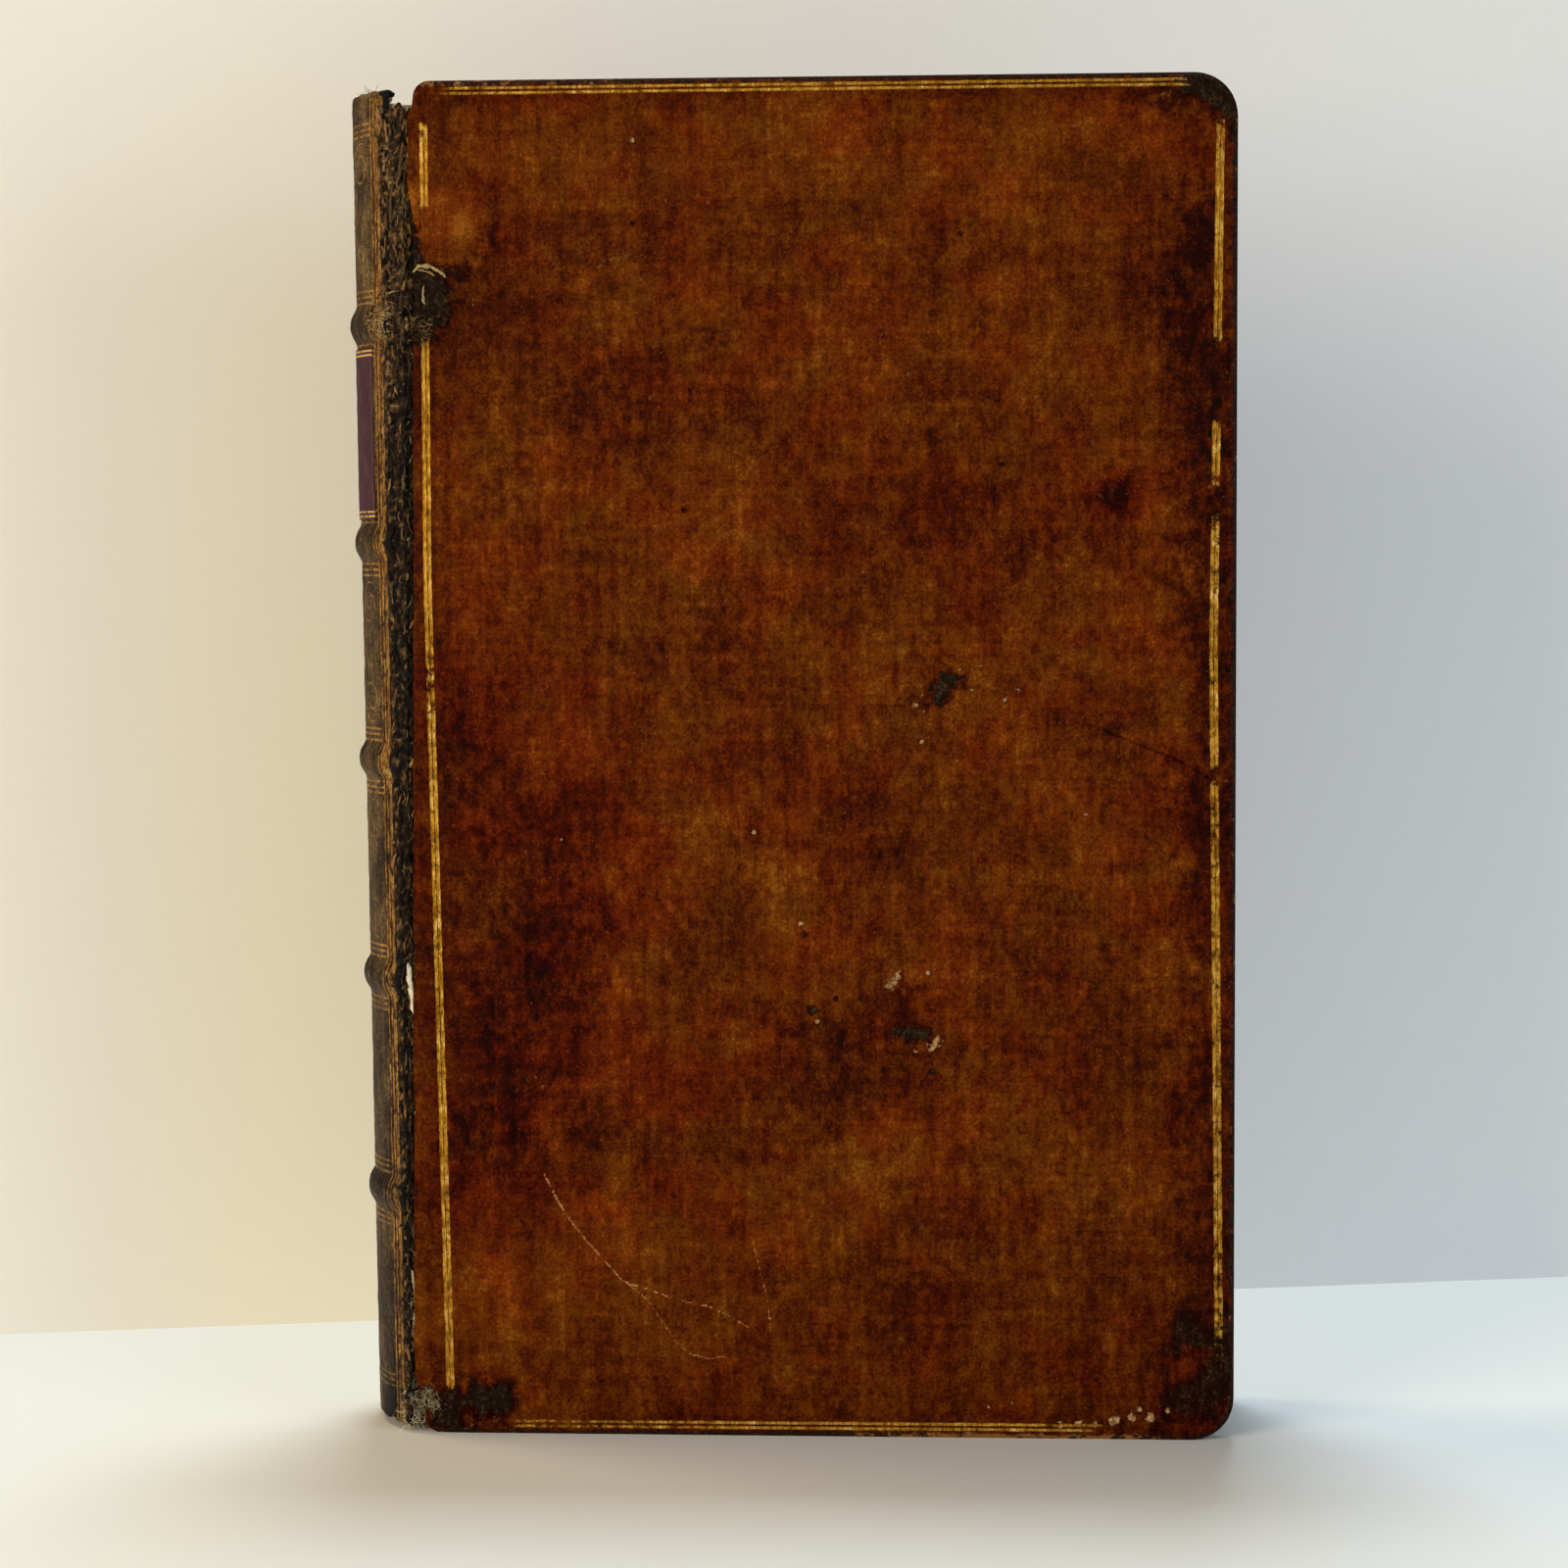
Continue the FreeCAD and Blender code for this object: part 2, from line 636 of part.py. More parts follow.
def make_cover(word, side):
    """The pieces of one cover and the free endpaper behind it."""
    return [
        make_cover_leather(f"{word}_leather", side),
        make_board(f"{word}_board", side),
        make_slips(f"{word}_cord_slips", side),
        make_pastedown(f"{word}_pastedown", side),
        make_flyleaf(f"{word}_free_endpaper", side),
    ]


def make_book():
    """Every piece of the book."""
    half = "(Sizes.endband_core / 2 + Sizes.glue_film)"
    pieces = [make_text_block(), make_lining()]
    pieces += [make_cord(i) for i in range(int(number("Sizes.band_count")))]
    pieces.append(make_endband("head_endband", f"{LEAF_HIGH} + {half}"))
    pieces.append(make_endband("tail_endband", f"{LEAF_LOW} - {half}"))
    pieces += [make_spine_leather(), make_label()]
    pieces += make_cover("front", FRONT)
    pieces += make_cover("back", BACK)
    return pieces


def check_and_write(pieces):
    """Stops on a failed object or a bad shape, then writes one file for each piece."""
    for thing in doc.Objects:
        if {"Invalid", "Error"} & set(thing.State):
            raise RuntimeError(f"{thing.Name} failed: {thing.State}")
    for piece in pieces:
        if piece.Shape.isNull() or not piece.Shape.isValid():
            raise RuntimeError(f"{piece.Label} has no valid shape")
    os.makedirs("parts", exist_ok=True)
    for piece in pieces:
        solids = len(piece.Shape.Solids)
        print(f"{piece.Label}: {solids} solid(s), {piece.Shape.Volume:.2f} mm3")
        piece.Shape.exportStep(f"parts/{piece.Label}.step")


check_and_write(make_book())
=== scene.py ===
"""The looks of an old book in full calf, standing closed against a pale wall.

Lengths are in millimetres until a piece is made, and metres after that. On a cover, u runs from the
joint to the fore-edge and z from tail to head.
"""

import json
import logging
import math
import random
from collections.abc import Callable, Sequence
from dataclasses import dataclass
from enum import Enum
from functools import cached_property

import bmesh
import bpy
from mathutils import Matrix, Vector, noise

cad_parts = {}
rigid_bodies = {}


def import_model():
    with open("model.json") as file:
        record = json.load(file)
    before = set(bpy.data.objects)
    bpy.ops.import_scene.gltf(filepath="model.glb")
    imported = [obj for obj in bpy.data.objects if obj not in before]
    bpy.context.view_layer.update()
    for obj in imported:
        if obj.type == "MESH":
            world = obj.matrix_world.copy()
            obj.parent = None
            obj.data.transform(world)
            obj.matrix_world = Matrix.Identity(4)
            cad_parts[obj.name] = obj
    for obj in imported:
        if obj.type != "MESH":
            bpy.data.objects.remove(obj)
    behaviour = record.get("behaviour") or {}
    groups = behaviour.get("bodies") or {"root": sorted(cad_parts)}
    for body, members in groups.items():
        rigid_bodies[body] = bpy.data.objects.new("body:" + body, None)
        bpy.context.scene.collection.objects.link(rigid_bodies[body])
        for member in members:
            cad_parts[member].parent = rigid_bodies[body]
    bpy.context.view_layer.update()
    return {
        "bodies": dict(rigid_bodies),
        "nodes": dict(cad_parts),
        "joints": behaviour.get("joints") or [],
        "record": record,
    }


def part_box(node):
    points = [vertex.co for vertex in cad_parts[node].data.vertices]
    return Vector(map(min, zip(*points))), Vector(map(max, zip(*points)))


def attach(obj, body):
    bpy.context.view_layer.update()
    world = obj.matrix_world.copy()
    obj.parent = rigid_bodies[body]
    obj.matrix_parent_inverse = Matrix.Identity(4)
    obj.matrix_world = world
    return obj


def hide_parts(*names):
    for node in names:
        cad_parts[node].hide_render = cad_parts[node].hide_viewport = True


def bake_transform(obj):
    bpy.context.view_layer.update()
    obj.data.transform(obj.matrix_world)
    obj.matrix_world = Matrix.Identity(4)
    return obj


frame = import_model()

MM = 0.001
LOG = logging.getLogger("antique_book")

Colour = tuple[float, float, float, float]
Socket = bpy.types.NodeSocket
Input = float | Sequence[float] | Socket
Path = tuple[tuple[float, float], ...]


class Side(Enum):
    """The two covers, by the sign of Y that they face."""

    FRONT = -1
    BACK = 1


class MarkKind(Enum):
    """What has happened to the leather at one place."""

    STAIN = "stain"
    FADE = "fade"
    BLUSH = "blush"
    PIT = "pit"
    SCUFF = "scuff"
    SCRATCH = "scratch"
    CRACK = "crack"
    LOSS = "loss"


def tint(red: int, green: int, blue: int) -> Colour:
    """A shade given as 0 to 255 display values, as linear light.

    Args:
        red: Display red.
        green: Display green.
        blue: Display blue.

    Returns:
        The linear colour with an alpha of one.
    """
    linear = [
        v / 12.92 if v <= 0.04045 else ((v + 0.055) / 1.055) ** 2.4
        for v in (red / 255, green / 255, blue / 255)
    ]
    return (*linear, 1.0)


def smooth(value: float, low: float, high: float) -> float:
    """Rises smoothly from 0 at low to 1 at high.

    Args:
        value: The number to place.
        low: Where the rise starts.
        high: Where it ends.

    Returns:
        A number from 0 to 1.
    """
    t = min(1.0, max(0.0, (value - low) / (high - low)))
    return t * t * (3 - 2 * t)


def ripple(place: Vector, size: float, seed: float = 0.0, octaves: int = 3) -> float:
    """Fractal noise of about -1 to 1 whose features are about size across.

    Args:
        place: Where it is read.
        size: The size of a feature.
        seed: Moves the pattern.
        octaves: How many finer layers it has.

    Returns:
        The height of the noise.
    """
    return noise.fractal(place / size + Vector((seed, seed * 1.7, -seed)), 1.0, 2.0, octaves)


def stations(stops: Sequence[float], pitch: float) -> list[float]:
    """The stops joined by even steps that are no longer than a pitch.

    Args:
        stops: Places that have to be met, in order.
        pitch: The longest step.

    Returns:
        Every place, in order.
    """
    places = [stops[0]]
    for start, end in zip(stops, stops[1:]):
        steps = max(1, math.ceil((end - start) / pitch))
        places += [start + (end - start) * (i + 1) / steps for i in range(steps)]
    return places


def to_path(u: float, z: float, path: Path) -> float:
    """Distance from a place to a broken line.

    Args:
        u: The place across.
        z: The place up.
        path: One point or more.

    Returns:
        The shortest distance.
    """
    here = Vector((u, z))
    spots = [Vector(p) for p in path]
    if len(spots) == 1:
        return (here - spots[0]).length
    nearest = math.inf
    for a, b in zip(spots, spots[1:]):
        along = b - a
        t = min(1.0, max(0.0, (here - a).dot(along) / along.length_squared))
        nearest = min(nearest, (here - a - along * t).length)
    return nearest


@dataclass(frozen=True)
class BookPlan:
    """The few sizes that every piece is worked out from, read from the frame."""

    joint_x: float
    fore_x: float
    height: float
    half: float
    bands: tuple[float, ...]
    spine_low_x: float
    spine_edge_y: float
    leaf_low: float
    leaf_high: float
    joint_width: float = 2.6
    band_rise: float = 1.0
    band_half: float = 2.4
    band_skirt: float = 0.35
    lean_tail: float = 0.4
    lean_head: float = -1.9
    lip_tail: float = 1.75
    lip_flap: float = 0.9

    @classmethod
    def from_frame(cls) -> "BookPlan":
        """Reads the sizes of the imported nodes.

        Returns:
            The plan in millimetres.
        """
        low, high = (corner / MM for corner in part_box("front_leather"))
        spine_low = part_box("spine_leather")[0] / MM
        leaves = [corner.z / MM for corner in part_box("text_block")]
        cords = [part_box(f"sewing_cord_{i + 1}") for i in range(5)]
        return cls(
            joint_x=low.x,
            fore_x=high.x,
            height=high.z,
            half=-low.y,
            bands=tuple((a.z + b.z) / 2 / MM for a, b in cords),
            spine_low_x=spine_low.x,
            spine_edge_y=-low.y - 0.4,
            leaf_low=leaves[0],
            leaf_high=leaves[1],
        )

    @property
    def width(self) -> float:
        """Joint to fore-edge."""
        return self.fore_x - self.joint_x

    @property
    def bulge(self) -> float:
        """Rise of the round spine above its edges."""
        return self.joint_x - self.joint_width - self.spine_low_x - self.band_rise

    @property
    def spine_radius(self) -> float:
        """Radius of the spine's leather between the bands."""
        return (self.spine_edge_y**2 + self.bulge**2) / (2 * self.bulge)

    @property
    def spine_axis_x(self) -> float:
        """Where the round spine's axis stands."""
        return self.joint_x - self.joint_width - self.bulge + self.spine_radius

    @property
    def spine_turn(self) -> float:
        """Half the angle of the round spine, in radians."""
        return math.asin(self.spine_edge_y / self.spine_radius)

    def lean(self, z: float) -> float:
        """How far the back leans out at a height.

        Args:
            z: The height.

        Returns:
            The shift along X.
        """
        return self.lean_tail + (self.lean_head - self.lean_tail) * z / self.height

    def lip(self, z: float) -> float:
        """How far the front cover's torn leather hangs over the joint at a height.

        Args:
            z: The height.

        Returns:
            The reach beyond the board's edge.
        """
        flap = self.lip_flap * smooth(z, 184, 190) * (1 - smooth(z, 199, 202))
        rough = 0.22 * ripple(Vector((0, 3, z)), 5) + 0.12 * ripple(Vector((0, 8, z)), 1.1)
        reach = self.lip_tail * (1 - z / self.height) + flap + rough
        return max(0.0, reach) * smooth(z, 4, 9) * (1 - smooth(z, 200, 203.5))

    def band_swell(self, z: float) -> float:
        """How far the raised bands lift the spine's leather at a height.

        Args:
            z: The height.

        Returns:
            The lift away from the spine's axis.
        """
        lift = 0.0
        for band in self.bands:
            away = abs(z - band) / (self.band_half + self.band_skirt)
            if away < 1:
                lift = self.band_rise * smooth(1 - away, 0.0, 0.9) ** 0.55
        return lift

    def on_spine(self, angle: float, radius: float, z: float) -> Vector:
        """A place beside the round spine's axis.

        Args:
            angle: From the middle of the back, negative towards the front cover, in radians.
            radius: From the axis.
            z: The height.

        Returns:
            The place in millimetres.
        """
        x = self.spine_axis_x + self.lean(z) - radius * math.cos(angle)
        return Vector((x, radius * math.sin(angle), z))


class FinishGraph:
    """A node material under construction, whose patterns are laid out in millimetres."""

    def __init__(self, name: str) -> None:
        """Starts a material with one shader.

        Args:
            name: The material's name.
        """
        self.material = bpy.data.materials.new(name)
        self.material.use_nodes = True
        self.tree = self.material.node_tree
        self.tree.nodes.clear()
        self.output = self.node("ShaderNodeOutputMaterial")
        self.shader = self.node("ShaderNodeBsdfPrincipled")
        self.tree.links.new(self.shader.outputs[0], self.output.inputs["Surface"])
        coordinates = self.node("ShaderNodeTexCoord").outputs["Object"]
        scaled = self.node("ShaderNodeVectorMath", operation="SCALE")
        self.plug(scaled.inputs[0], coordinates)
        self.plug(scaled.inputs["Scale"], 1 / MM)
        self.place = scaled.outputs[0]

    def node(self, kind: str, **settings: object) -> bpy.types.ShaderNode:
        """Adds a node.

        Args:
            kind: Its Blender type.
            **settings: Its properties.

        Returns:
            The node.
        """
        made = self.tree.nodes.new(kind)
        for key, value in settings.items():
            setattr(made, key, value)
        return made

    def plug(self, socket: Socket, value: Input) -> None:
        """Links a socket, or sets it.

        Args:
            socket: The socket that takes the value.
            value: Another node's output, or a constant.
        """
        if isinstance(value, bpy.types.NodeSocket):
            self.tree.links.new(value, socket)
        else:
            socket.default_value = value

    def math(self, operation: str, *values: Input, clamp: bool = False) -> Socket:
        """A sum of one or two values.

        Args:
            operation: Blender's name for it.
            *values: What goes in.
            clamp: Keeps the result from 0 to 1.

        Returns:
            The result.
        """
        made = self.node("ShaderNodeMath", operation=operation, use_clamp=clamp)
        for socket, value in zip(made.inputs, values):
            self.plug(socket, value)
        return made.outputs[0]

    def axes(self) -> tuple[Socket, Socket, Socket]:
        """The place along X, Y and Z."""
        made = self.node("ShaderNodeSeparateXYZ")
        self.plug(made.inputs[0], self.place)
        return made.outputs[0], made.outputs[1], made.outputs[2]

    def spread(self, stretch: Sequence[float], shift: float = 0.0) -> Socket:
        """The place, drawn out along each axis.

        Args:
            stretch: How many times longer the pattern is along X, Y and Z.
            shift: Moves the pattern.

        Returns:
            The new place.
        """
        made = self.node("ShaderNodeMapping")
        self.plug(made.inputs["Vector"], self.place)
        self.plug(made.inputs["Location"], (shift, shift * 2, -shift))
        self.plug(made.inputs["Scale"], [1 / s for s in stretch])
        return made.outputs[0]

    def grainy(
        self,
        size: float,
        detail: float = 4.0,
        roughness: float = 0.55,
        stretch: Sequence[float] = (1, 1, 1),
        shift: float = 0.0,
        twist: float = 0.0,
    ) -> Socket:
        """Noise of 0 to 1 whose features are about size across.

        Args:
            size: The size of a feature.
            detail: How many finer layers it has.
            roughness: How strong they are.
            stretch: How many times longer it is along each axis.
            shift: Moves the pattern.
            twist: How far the pattern is drawn about.

        Returns:
            The height of the noise.
        """
        made = self.node("ShaderNodeTexNoise")
        self.plug(made.inputs["Vector"], self.spread(stretch, shift))
        self.plug(made.inputs["Scale"], 1 / size)
        self.plug(made.inputs["Detail"], detail)
        self.plug(made.inputs["Roughness"], roughness)
        self.plug(made.inputs["Distortion"], twist)
        return made.outputs["Fac"]

    def cells(self, size: float, warp: float = 0.0, feature: str = "DISTANCE_TO_EDGE") -> Socket:
        """Distance inside a pattern of cells.

        Args:
            size: The size of a cell.
            warp: How far the cells are drawn about, in cells.
            feature: Blender's name for the distance.

        Returns:
            The distance, in cells.
        """
        place = self.place
        if warp:
            drift = self.node("ShaderNodeTexNoise")
            self.plug(drift.inputs["Vector"], self.place)
            self.plug(drift.inputs["Scale"], 1 / size)
            moved = self.node("ShaderNodeVectorMath", operation="MULTIPLY_ADD")
            self.plug(moved.inputs[0], drift.outputs["Color"])
            self.plug(moved.inputs[1], (warp * size,) * 3)
            self.plug(moved.inputs[2], self.place)
            place = moved.outputs[0]
        made = self.node("ShaderNodeTexVoronoi", feature=feature)
        self.plug(made.inputs["Vector"], place)
        self.plug(made.inputs["Scale"], 1 / size)
        return made.outputs["Distance"]

    def rise(
        self, value: Input, low: float, high: float, start: float = 0.0, end: float = 1.0
    ) -> Socket:
        """Goes smoothly from start to end as a value goes from low to high.

        Args:
            value: What is read.
            low: Where the change starts.
            high: Where it ends.
            start: The result at low.
            end: The result at high.

        Returns:
            The result.
        """
        made = self.node("ShaderNodeMapRange", interpolation_type="SMOOTHSTEP")
        for socket, given in zip(made.inputs, (value, low, high, start, end)):
            self.plug(socket, given)
        return made.outputs[0]

    def ramp(self, value: Socket, stops: Sequence[tuple[float, Colour]]) -> Socket:
        """Colours laid along a value of 0 to 1.

        Args:
            value: What is read.
            stops: Each place and its colour.

        Returns:
            The colour.
        """
        made = self.node("ShaderNodeValToRGB")
        strip = made.color_ramp.elements
        strip[0].position, strip[0].color = stops[0]
        strip[1].position, strip[1].color = stops[-1]
        for position, colour in stops[1:-1]:
            strip.new(position).color = colour
        self.plug(made.inputs[0], value)
        return made.outputs["Color"]

    def profile(self, value: Socket, stops: Sequence[tuple[float, float]]) -> Socket:
        """Numbers laid along a value of 0 to 1.

        Args:
            value: What is read.
            stops: Each place and its number.

        Returns:
            The number.
        """
        greys = [(place, (level, level, level, 1.0)) for place, level in stops]
        grey = self.node("ShaderNodeRGBToBW")
        self.plug(grey.inputs[0], self.ramp(value, greys))
        return grey.outputs[0]

    def mix(self, amount: Input, first: Input, second: Input, blend: str = "MIX") -> Socket:
        """Two colours laid over each other.

        Args:
            amount: How much of the second shows.
            first: The colour below.
            second: The colour above.
            blend: Blender's name for how they meet.

        Returns:
            The colour.
        """
        made = self.node("ShaderNodeMix", data_type="RGBA", blend_type=blend)
        self.plug(made.inputs[0], amount)
        self.plug(made.inputs[6], first)
        self.plug(made.inputs[7], second)
        return made.outputs[2]

    def painted(self, name: str) -> tuple[Socket, Socket, Socket, Socket]:
        """The four channels that a piece's vertices carry.

        Args:
            name: The attribute's name.

        Returns:
            Red, green, blue and alpha.
        """
        read = self.node("ShaderNodeAttribute", attribute_name=name)
        parts = self.node("ShaderNodeSeparateColor")
        self.plug(parts.inputs[0], read.outputs["Color"])
        return parts.outputs[0], parts.outputs[1], parts.outputs[2], read.outputs["Alpha"]

    def total(self, *parts: tuple[Input, float]) -> Socket:
        """A weighted sum.

        Args:
            *parts: Each value and its weight.

        Returns:
            The sum.
        """
        result: Input = 0.0
        for value, weight in parts:
            result = self.math("MULTIPLY_ADD", value, weight, result)
        return result

    def done(
        self,
        colour: Input,
        roughness: Input,
        height: Socket | None = None,
        depth: float = 0.1,
        metal: Input = 0.0,
        specular: float = 0.5,
    ) -> bpy.types.Material:
        """Joins everything to the shader.

        Args:
            colour: The base colour.
            roughness: From 0, polished, to 1, dull.
            height: The relief, or None for a plain surface.
            depth: How many millimetres a height of one stands for.
            metal: From 0 to 1.
            specular: Strength of the clear reflection.

        Returns:
            The finished material.
        """
        self.plug(self.shader.inputs["Base Color"], colour)
        self.plug(self.shader.inputs["Roughness"], roughness)
        self.plug(self.shader.inputs["Metallic"], metal)
        self.plug(self.shader.inputs["Specular IOR Level"], specular)
        if height is not None:
            relief = self.node("ShaderNodeBump")
            self.plug(relief.inputs["Strength"], 1.0)
            self.plug(relief.inputs["Distance"], depth * MM)
            self.plug(relief.inputs["Height"], height)
            self.plug(self.shader.inputs["Normal"], relief.outputs[0])
        return self.material


@dataclass(frozen=True)
class GiltFrame:
    """The double line of gold that runs round a cover, and where it is rubbed away."""

    plan: BookPlan
    line: float = 0.5
    half_gap: float = 0.33
    joint_middle: float = 1.55
    joint_slant: float = 2.5
    slant_top: float = 130.0
    fore_middle: float = 119.6
    fore_bow: float = 0.9
    fore_waist: float = 120.0
    end_middle: float = 1.62
    end_line: float = 0.36
    end_gap: float = 0.38
    end_slant: float = 0.2

    def joint_line(self, z: float) -> float:
        """Middle of the pair beside the joint.

        Args:
            z: The height.

        Returns:
            The place across.
        """
        return self.joint_middle + self.joint_slant * max(0.0, 1 - z / self.slant_top)

    def fore_line(self, z: float) -> float:
        """Middle of the pair beside the fore-edge.

        Args:
            z: The height.

        Returns:
            The place across.
        """
        away = abs(z - self.fore_waist) / (self.plan.height - self.fore_waist)
        return self.fore_middle + self.fore_bow * away


@dataclass(frozen=True)
class CalfFinish:
    """Polished brown calf with clouds, streaks, cracks, stains and a gilt frame."""

    name: str
    plan: BookPlan
    gilding: GiltFrame
    side: Side
    specular: float = 0.02

    def make(self) -> bpy.types.Material:
        """Builds the material.

        Returns:
            The calf.
        """
        graph = FinishGraph(self.name)
        x, _, z = graph.axes()
        u = graph.math("SUBTRACT", x, self.plan.joint_x)
        dark, pale, red, cut = graph.painted("marks")
        rim, _, flaking, _ = graph.painted("rim")
        shift = 40.0 * self.side.value

        cloud = graph.grainy(24, 4, 0.55, shift=shift)
        patch = graph.grainy(6, 5, 0.62, stretch=(1, 1, 1.4), shift=shift + 9)
        mottle = graph.grainy(1.5, 4, 0.7, stretch=(1, 1, 1.4), shift=shift + 15)
        fleck = graph.grainy(0.5, 4, 0.7, shift=shift + 3)
        upright = graph.grainy(1.3, 4, 0.65, stretch=(1, 1, 18), shift=shift + 5)
        level = graph.grainy(1.3, 4, 0.65, stretch=(14, 1, 1), shift=shift + 7)
        blotched = graph.math("MULTIPLY", dark, graph.rise(mottle, 0.3, 0.62, 1.25, 0.7))
        rimmed = graph.rise(rim, 0.0, 9.0, 1.0, 0.0)
        waves = ((cloud, 0.75), (patch, 0.7), (mottle, 1.05), (fleck, 1.1), (upright, 0.5), (level, 0.4))
        tone = graph.total(*waves, (blotched, -0.5), (rimmed, -0.1))
        tone = graph.math("ADD", tone, 0.53 - sum(weight for _, weight in waves) / 2)
        calf = graph.ramp(
            tone,
            [
                (0.0, tint(26, 5, 2)),
                (0.2, tint(48, 11, 2)),
                (0.4, tint(70, 23, 2)),
                (0.56, tint(88, 37, 3)),
                (0.74, tint(104, 50, 5)),
                (1.0, tint(136, 80, 18)),
            ],
        )
        blush = graph.rise(graph.grainy(10, 5, 0.62, shift=shift + 21), 0.44, 0.62, 0, 0.7)
        blush = graph.math("ADD", blush, graph.math("MULTIPLY", red, 0.8), clamp=True)
        calf = graph.mix(blush, calf, graph.mix(1.0, calf, (1.05, 0.62, 0.65, 1.0), "MULTIPLY"))
        olive = graph.rise(graph.grainy(8, 5, 0.65, shift=shift + 27), 0.5, 0.66, 0, 0.7)
        calf = graph.mix(olive, calf, graph.mix(1.0, calf, (0.82, 1.0, 1.1, 1.0), "MULTIPLY"))

        crackle = graph.rise(graph.cells(1.9, 0.9), 0.0, 0.05, 1.0, 0.0)
        worn_here = graph.rise(graph.grainy(15, 3, 0.6, shift=shift + 31), 0.54, 0.7)
        crackle = graph.math("MULTIPLY", crackle, worn_here)
        calf = graph.mix(graph.math("MULTIPLY", crackle, 0.3), calf, tint(30, 8, 3))
        pore = graph.rise(graph.grainy(0.3, 2, 0.5, shift=shift + 2), 0.6, 0.74)
        calf = graph.mix(graph.math("MULTIPLY", pore, 0.5), calf, tint(30, 8, 3))
        soot = graph.rise(graph.grainy(0.8, 5, 0.75, shift=shift + 17), 0.58, 0.68)
        sooty = graph.rise(graph.total((graph.grainy(11, 4, 0.65, shift=shift + 13), 1.0), (dark, 0.2)), 0.52, 0.68)
        calf = graph.mix(
            graph.math("MULTIPLY", graph.math("MULTIPLY", soot, sooty), 0.5), calf, tint(24, 9, 5)
        )
        # Painted glints: the dust specks below are small pale tan highlights scattered over the calf, thicker in some
        # patches.
        glint_zone = graph.rise(graph.grainy(14, 4, 0.65, shift=shift + 37), 0.4, 0.62, 0.0, 0.05)
        dust = graph.math("ADD", graph.grainy(0.42, 2, 0.5, stretch=(1, 1, 1.6), shift=shift + 19), glint_zone)
        dust = graph.rise(dust, 0.735, 0.79)
        calf = graph.mix(graph.math("MULTIPLY", dust, 0.4), calf, tint(150, 96, 52))
        pared = graph.mix(graph.rise(pale, 0.4, 0.95), tint(122, 78, 34), tint(206, 164, 114))
        bare = graph.mix(graph.rise(fleck, 0.3, 0.7), tint(84, 48, 20), pared)
        speckle = graph.total((fleck, 1.0), (mottle, 1.2), (pale, 1.0))
        bare_here = graph.math("MULTIPLY", graph.rise(speckle, 1.42, 1.75), graph.rise(pale, 0.02, 0.2))
        calf = graph.mix(bare_here, calf, bare)
        scored = graph.math("MULTIPLY", cut, graph.rise(graph.grainy(1.1, 5, 0.75, shift=60), 0.36, 0.56, 0.45, 1.25))
        scar = graph.mix(graph.rise(fleck, 0.35, 0.65), tint(112, 56, 20), tint(204, 138, 80))
        calf = graph.mix(graph.rise(scored, 0.3, 0.7), calf, scar)
        black = graph.rise(graph.total((dark, 1.0), (mottle, 1.3), (fleck, 0.5)), 1.6, 2.2)
        char = graph.ramp(
            graph.total((fleck, 0.6), (mottle, 0.4)),
            [(0.3, tint(12, 8, 6)), (0.5, tint(28, 19, 11)), (0.62, tint(66, 48, 28)), (0.7, tint(108, 84, 54))],
        )
        calf = graph.mix(black, calf, char)

        frayed = graph.total((graph.grainy(2.6, 6, 0.75, shift=shift + 50), 2.6), (rim, -1.0))
        frayed = graph.rise(frayed, 0.35, 0.8)
        flake = graph.total((graph.grainy(1.0, 6, 0.75, stretch=(2, 1, 2), shift=shift + 54), 1.0), (flaking, 0.22))
        flayed = graph.mix(graph.rise(fleck, 0.35, 0.65), tint(16, 11, 9), tint(54, 34, 24))
        flayed = graph.mix(graph.rise(flake, 0.62, 0.7), flayed, graph.mix(fleck, tint(84, 48, 20), tint(176, 124, 68)))
        calf = graph.mix(graph.math("MULTIPLY", frayed, 0.9), calf, flayed)

        gold, groove = self.gold(graph, u, z)
        # Painted highlights: the gold leaf's colour runs from dark to pale with the shine noise, standing in for the
        # gold's reflections.
        shine = graph.total((graph.grainy(0.3, 4, 0.7, stretch=(1, 1, 5)), 0.6), (graph.grainy(2.4, 4, 0.7), 0.5))
        leaf = graph.ramp(
            graph.rise(shine, 0.36, 0.76),
            [(0.0, tint(84, 48, 10)), (0.4, tint(160, 112, 28)), (0.75, tint(200, 152, 60)), (1.0, tint(238, 206, 140))],
        )
        colour = graph.mix(gold, calf, leaf)

        grain = graph.cells(0.42, 0.4, "F1")
        torn = graph.math("MULTIPLY", graph.rise(graph.total((dark, 1.0), (pale, 1.4)), 0.2, 0.9), mottle)
        height = graph.total(
            (grain, 0.22), (fleck, 0.6), (mottle, 0.5), (upright, 0.3), (level, 0.2), (crackle, -0.5), (groove, -0.4),
            (torn, 3.0),
        )
        roughness = graph.total((patch, 0.25), (gold, -0.16), (pale, 0.2))
        roughness = graph.math("ADD", roughness, 0.36)
        metal = graph.math("MULTIPLY", gold, 0.35)
        return graph.done(colour, roughness, height, 0.14, metal, self.specular)

